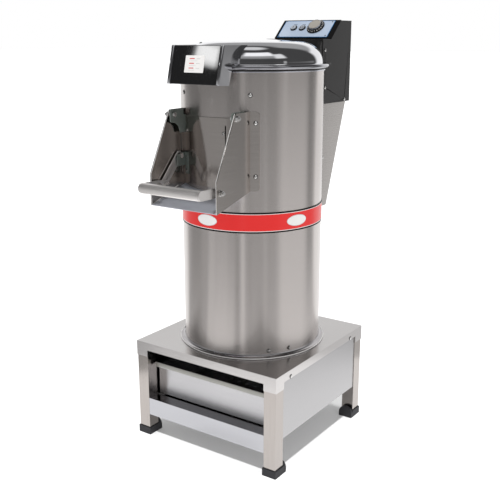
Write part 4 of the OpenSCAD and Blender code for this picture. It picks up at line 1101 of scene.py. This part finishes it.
class PEELER_OT_stage(bpy.types.Operator):
    """Floor, lamp, the cove that the steel mirrors, room light and camera"""

    bl_idname = "peeler.stage"
    bl_label = "Stage"

    def execute(self, context):
        floor = self.floor()
        self.cove()
        self.lamps(floor)
        self.room()
        self.camera()
        context.scene.view_settings.view_transform = "Standard"
        return {"FINISHED"}

    def floor(self):
        mesh = bpy.data.meshes.new("floor")
        corners = [(FLOOR_HALF * x, FLOOR_HALF * y, 0) for x, y in ((-1, -1), (1, -1), (1, 1), (-1, 1))]
        mesh.from_pydata(corners, [], [(0, 1, 2, 3)])
        floor = stand_up("floor", mesh)
        material, tree = start_material("White studio floor, painted")
        ray = add(tree, "ShaderNodeLightPath").outputs
        either = {0: ray["Is Camera Ray"], 1: ray["Is Glossy Ray"]}
        seen = add(tree, "ShaderNodeMath", either, operation="MAXIMUM").outputs["Value"]
        paint = add(tree, "ShaderNodeBsdfDiffuse", {"Color": grey(FLOOR_PAINT)}).outputs["BSDF"]
        glow = add(tree, "ShaderNodeEmission", {"Color": grey(1.0), "Strength": colours().floor}).outputs["Emission"]
        lit = add(tree, "ShaderNodeAddShader", {0: paint, 1: glow}).outputs["Shader"]
        pick = add(tree, "ShaderNodeMixShader", {"Fac": seen, 1: paint, 2: lit}).outputs["Shader"]
        add(tree, "ShaderNodeOutputMaterial", {"Surface": pick})
        floor.data.materials.append(material)
        return floor

    def cove(self):
        """A round cove of soft boxes and flags under a dome, which only shine sees. Its foot lies on the floor."""
        rings = cove_rings()
        count = len(rings)
        verts, faces, levels = [], [], []
        for i in range(COVE_TURNS):
            degrees = 360 * i / COVE_TURNS
            verts += [tuple(ON_AXIS @ polar(r, math.radians(degrees), z)) for r, z, _, _ in rings]
            levels += [level(degrees, place) for _, _, level, place in rings]
            here, there = i * count, (i + 1) % COVE_TURNS * count
            faces += [(here + k, there + k, there + k + 1, here + k + 1) for k in range(count - 1)]
        mesh = bpy.data.meshes.new("cove")
        mesh.from_pydata(verts, [], faces)
        glow = mesh.attributes.new("glow", "FLOAT", "POINT")
        glow.data.foreach_set("value", levels)
        cove = stand_up("cove", mesh)
        cove.visible_camera = cove.visible_diffuse = cove.visible_shadow = False
        material, tree = start_material("Studio cove, soft boxes and flags")
        level = add(tree, "ShaderNodeAttribute", attribute_name="glow").outputs["Color"]
        shine = add(tree, "ShaderNodeEmission", {"Color": level, "Strength": 1.0}).outputs["Emission"]
        add(tree, "ShaderNodeOutputMaterial", {"Surface": shine})
        material.cycles.emission_sampling = "NONE"
        cove.data.materials.append(material)

    def lamps(self, floor):
        """An overhead lamp for everything, and a floor lamp that only the stand shades."""
        self.lamp("overhead", colours().lamp, LAMP_WIDTH)
        lamp = self.lamp("floor_lamp", colours().floor_lamp, FLOOR_LAMP_WIDTH)
        lamp.rotation_euler = FLOOR_LAMP_WAY.to_track_quat("-Z", "Y").to_euler()
        lit = bpy.data.collections.new("Lit by the floor lamp")
        lit.objects.link(floor)
        shading = bpy.data.collections.new("Shades the floor lamp")
        for name in STAND_NODES:
            shading.objects.link(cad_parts[name])
        lamp.light_linking.receiver_collection = lit
        lamp.light_linking.blocker_collection = shading

    @staticmethod
    def lamp(name, energy, width):
        """A lamp like the sun, width degrees across, that shines down and doesn't show in the steel."""
        sun = bpy.data.lights.new(name, "SUN")
        sun.angle, sun.energy = math.radians(width), energy
        obj = stand_up(name, sun)
        obj.location = (0.0, 0.0, LAMP_HEIGHT)
        obj.visible_glossy = False
        return obj

    def room(self):
        """White to the camera, and even light on matt surfaces. Shine sees the cove instead."""
        world = bpy.data.worlds.new("Studio")
        bpy.context.scene.world = world
        world.use_nodes = True
        tree = world.node_tree
        tree.nodes.clear()
        ray = add(tree, "ShaderNodeLightPath").outputs["Is Camera Ray"]
        # Sockets 6 and 7 are the two colours.
        tones = {"Factor": ray, 6: grey(colours().room), 7: grey(1.0)}
        seen = add(tree, "ShaderNodeMix", tones, data_type="RGBA").outputs[2]
        light = add(tree, "ShaderNodeBackground", {"Color": seen, "Strength": 1.0}).outputs["Background"]
        add(tree, "ShaderNodeOutputWorld", {"Surface": light})

    def camera(self):
        data = bpy.data.cameras.new("photo_view")
        data.lens, data.sensor_width, data.clip_end = LENS, SENSOR, 200
        cam = stand_up("photo_view", data)
        cam.location = at(*CAMERA_AT)
        cam.rotation_euler = (math.radians(90 - CAMERA_DOWN), 0.0, math.radians(CAMERA_LEFT))
        bpy.context.scene.camera = cam


STEPS = (
    PEELER_OT_finishes,
    PEELER_OT_lid,
    PEELER_OT_fascia,
    PEELER_OT_controls,
    PEELER_OT_label,
    PEELER_OT_trims,
    PEELER_OT_stage,
)


class PEELER_PT_panel(bpy.types.Panel):
    """Lists the peeler's pieces and settings"""

    bl_label = "Peeler"
    bl_idname = "PEELER_PT_panel"
    bl_space_type = "VIEW_3D"
    bl_region_type = "UI"
    bl_category = "Peeler"

    def draw(self, context):
        for step in STEPS:
            self.layout.operator(step.bl_idname)
        for group in (sizes(), colours()):
            for key in group.__annotations__:
                self.layout.prop(group, key)


CLASSES = (PeelerSizes, PeelerColours, *STEPS, PEELER_PT_panel)


def register():
    for item in CLASSES:
        bpy.utils.register_class(item)
    bpy.types.Scene.peeler_sizes = bpy.props.PointerProperty(type=PeelerSizes)
    bpy.types.Scene.peeler_colours = bpy.props.PointerProperty(type=PeelerColours)


def unregister():
    del bpy.types.Scene.peeler_sizes
    del bpy.types.Scene.peeler_colours
    for item in reversed(CLASSES):
        bpy.utils.unregister_class(item)


def main():
    register()
    bpy.ops.peeler.finishes()
    bpy.ops.peeler.lid()
    bpy.ops.peeler.fascia()
    bpy.ops.peeler.controls()
    bpy.ops.peeler.label()
    bpy.ops.peeler.trims()
    bpy.ops.peeler.stage()


if __name__ == "__main__":
    main()
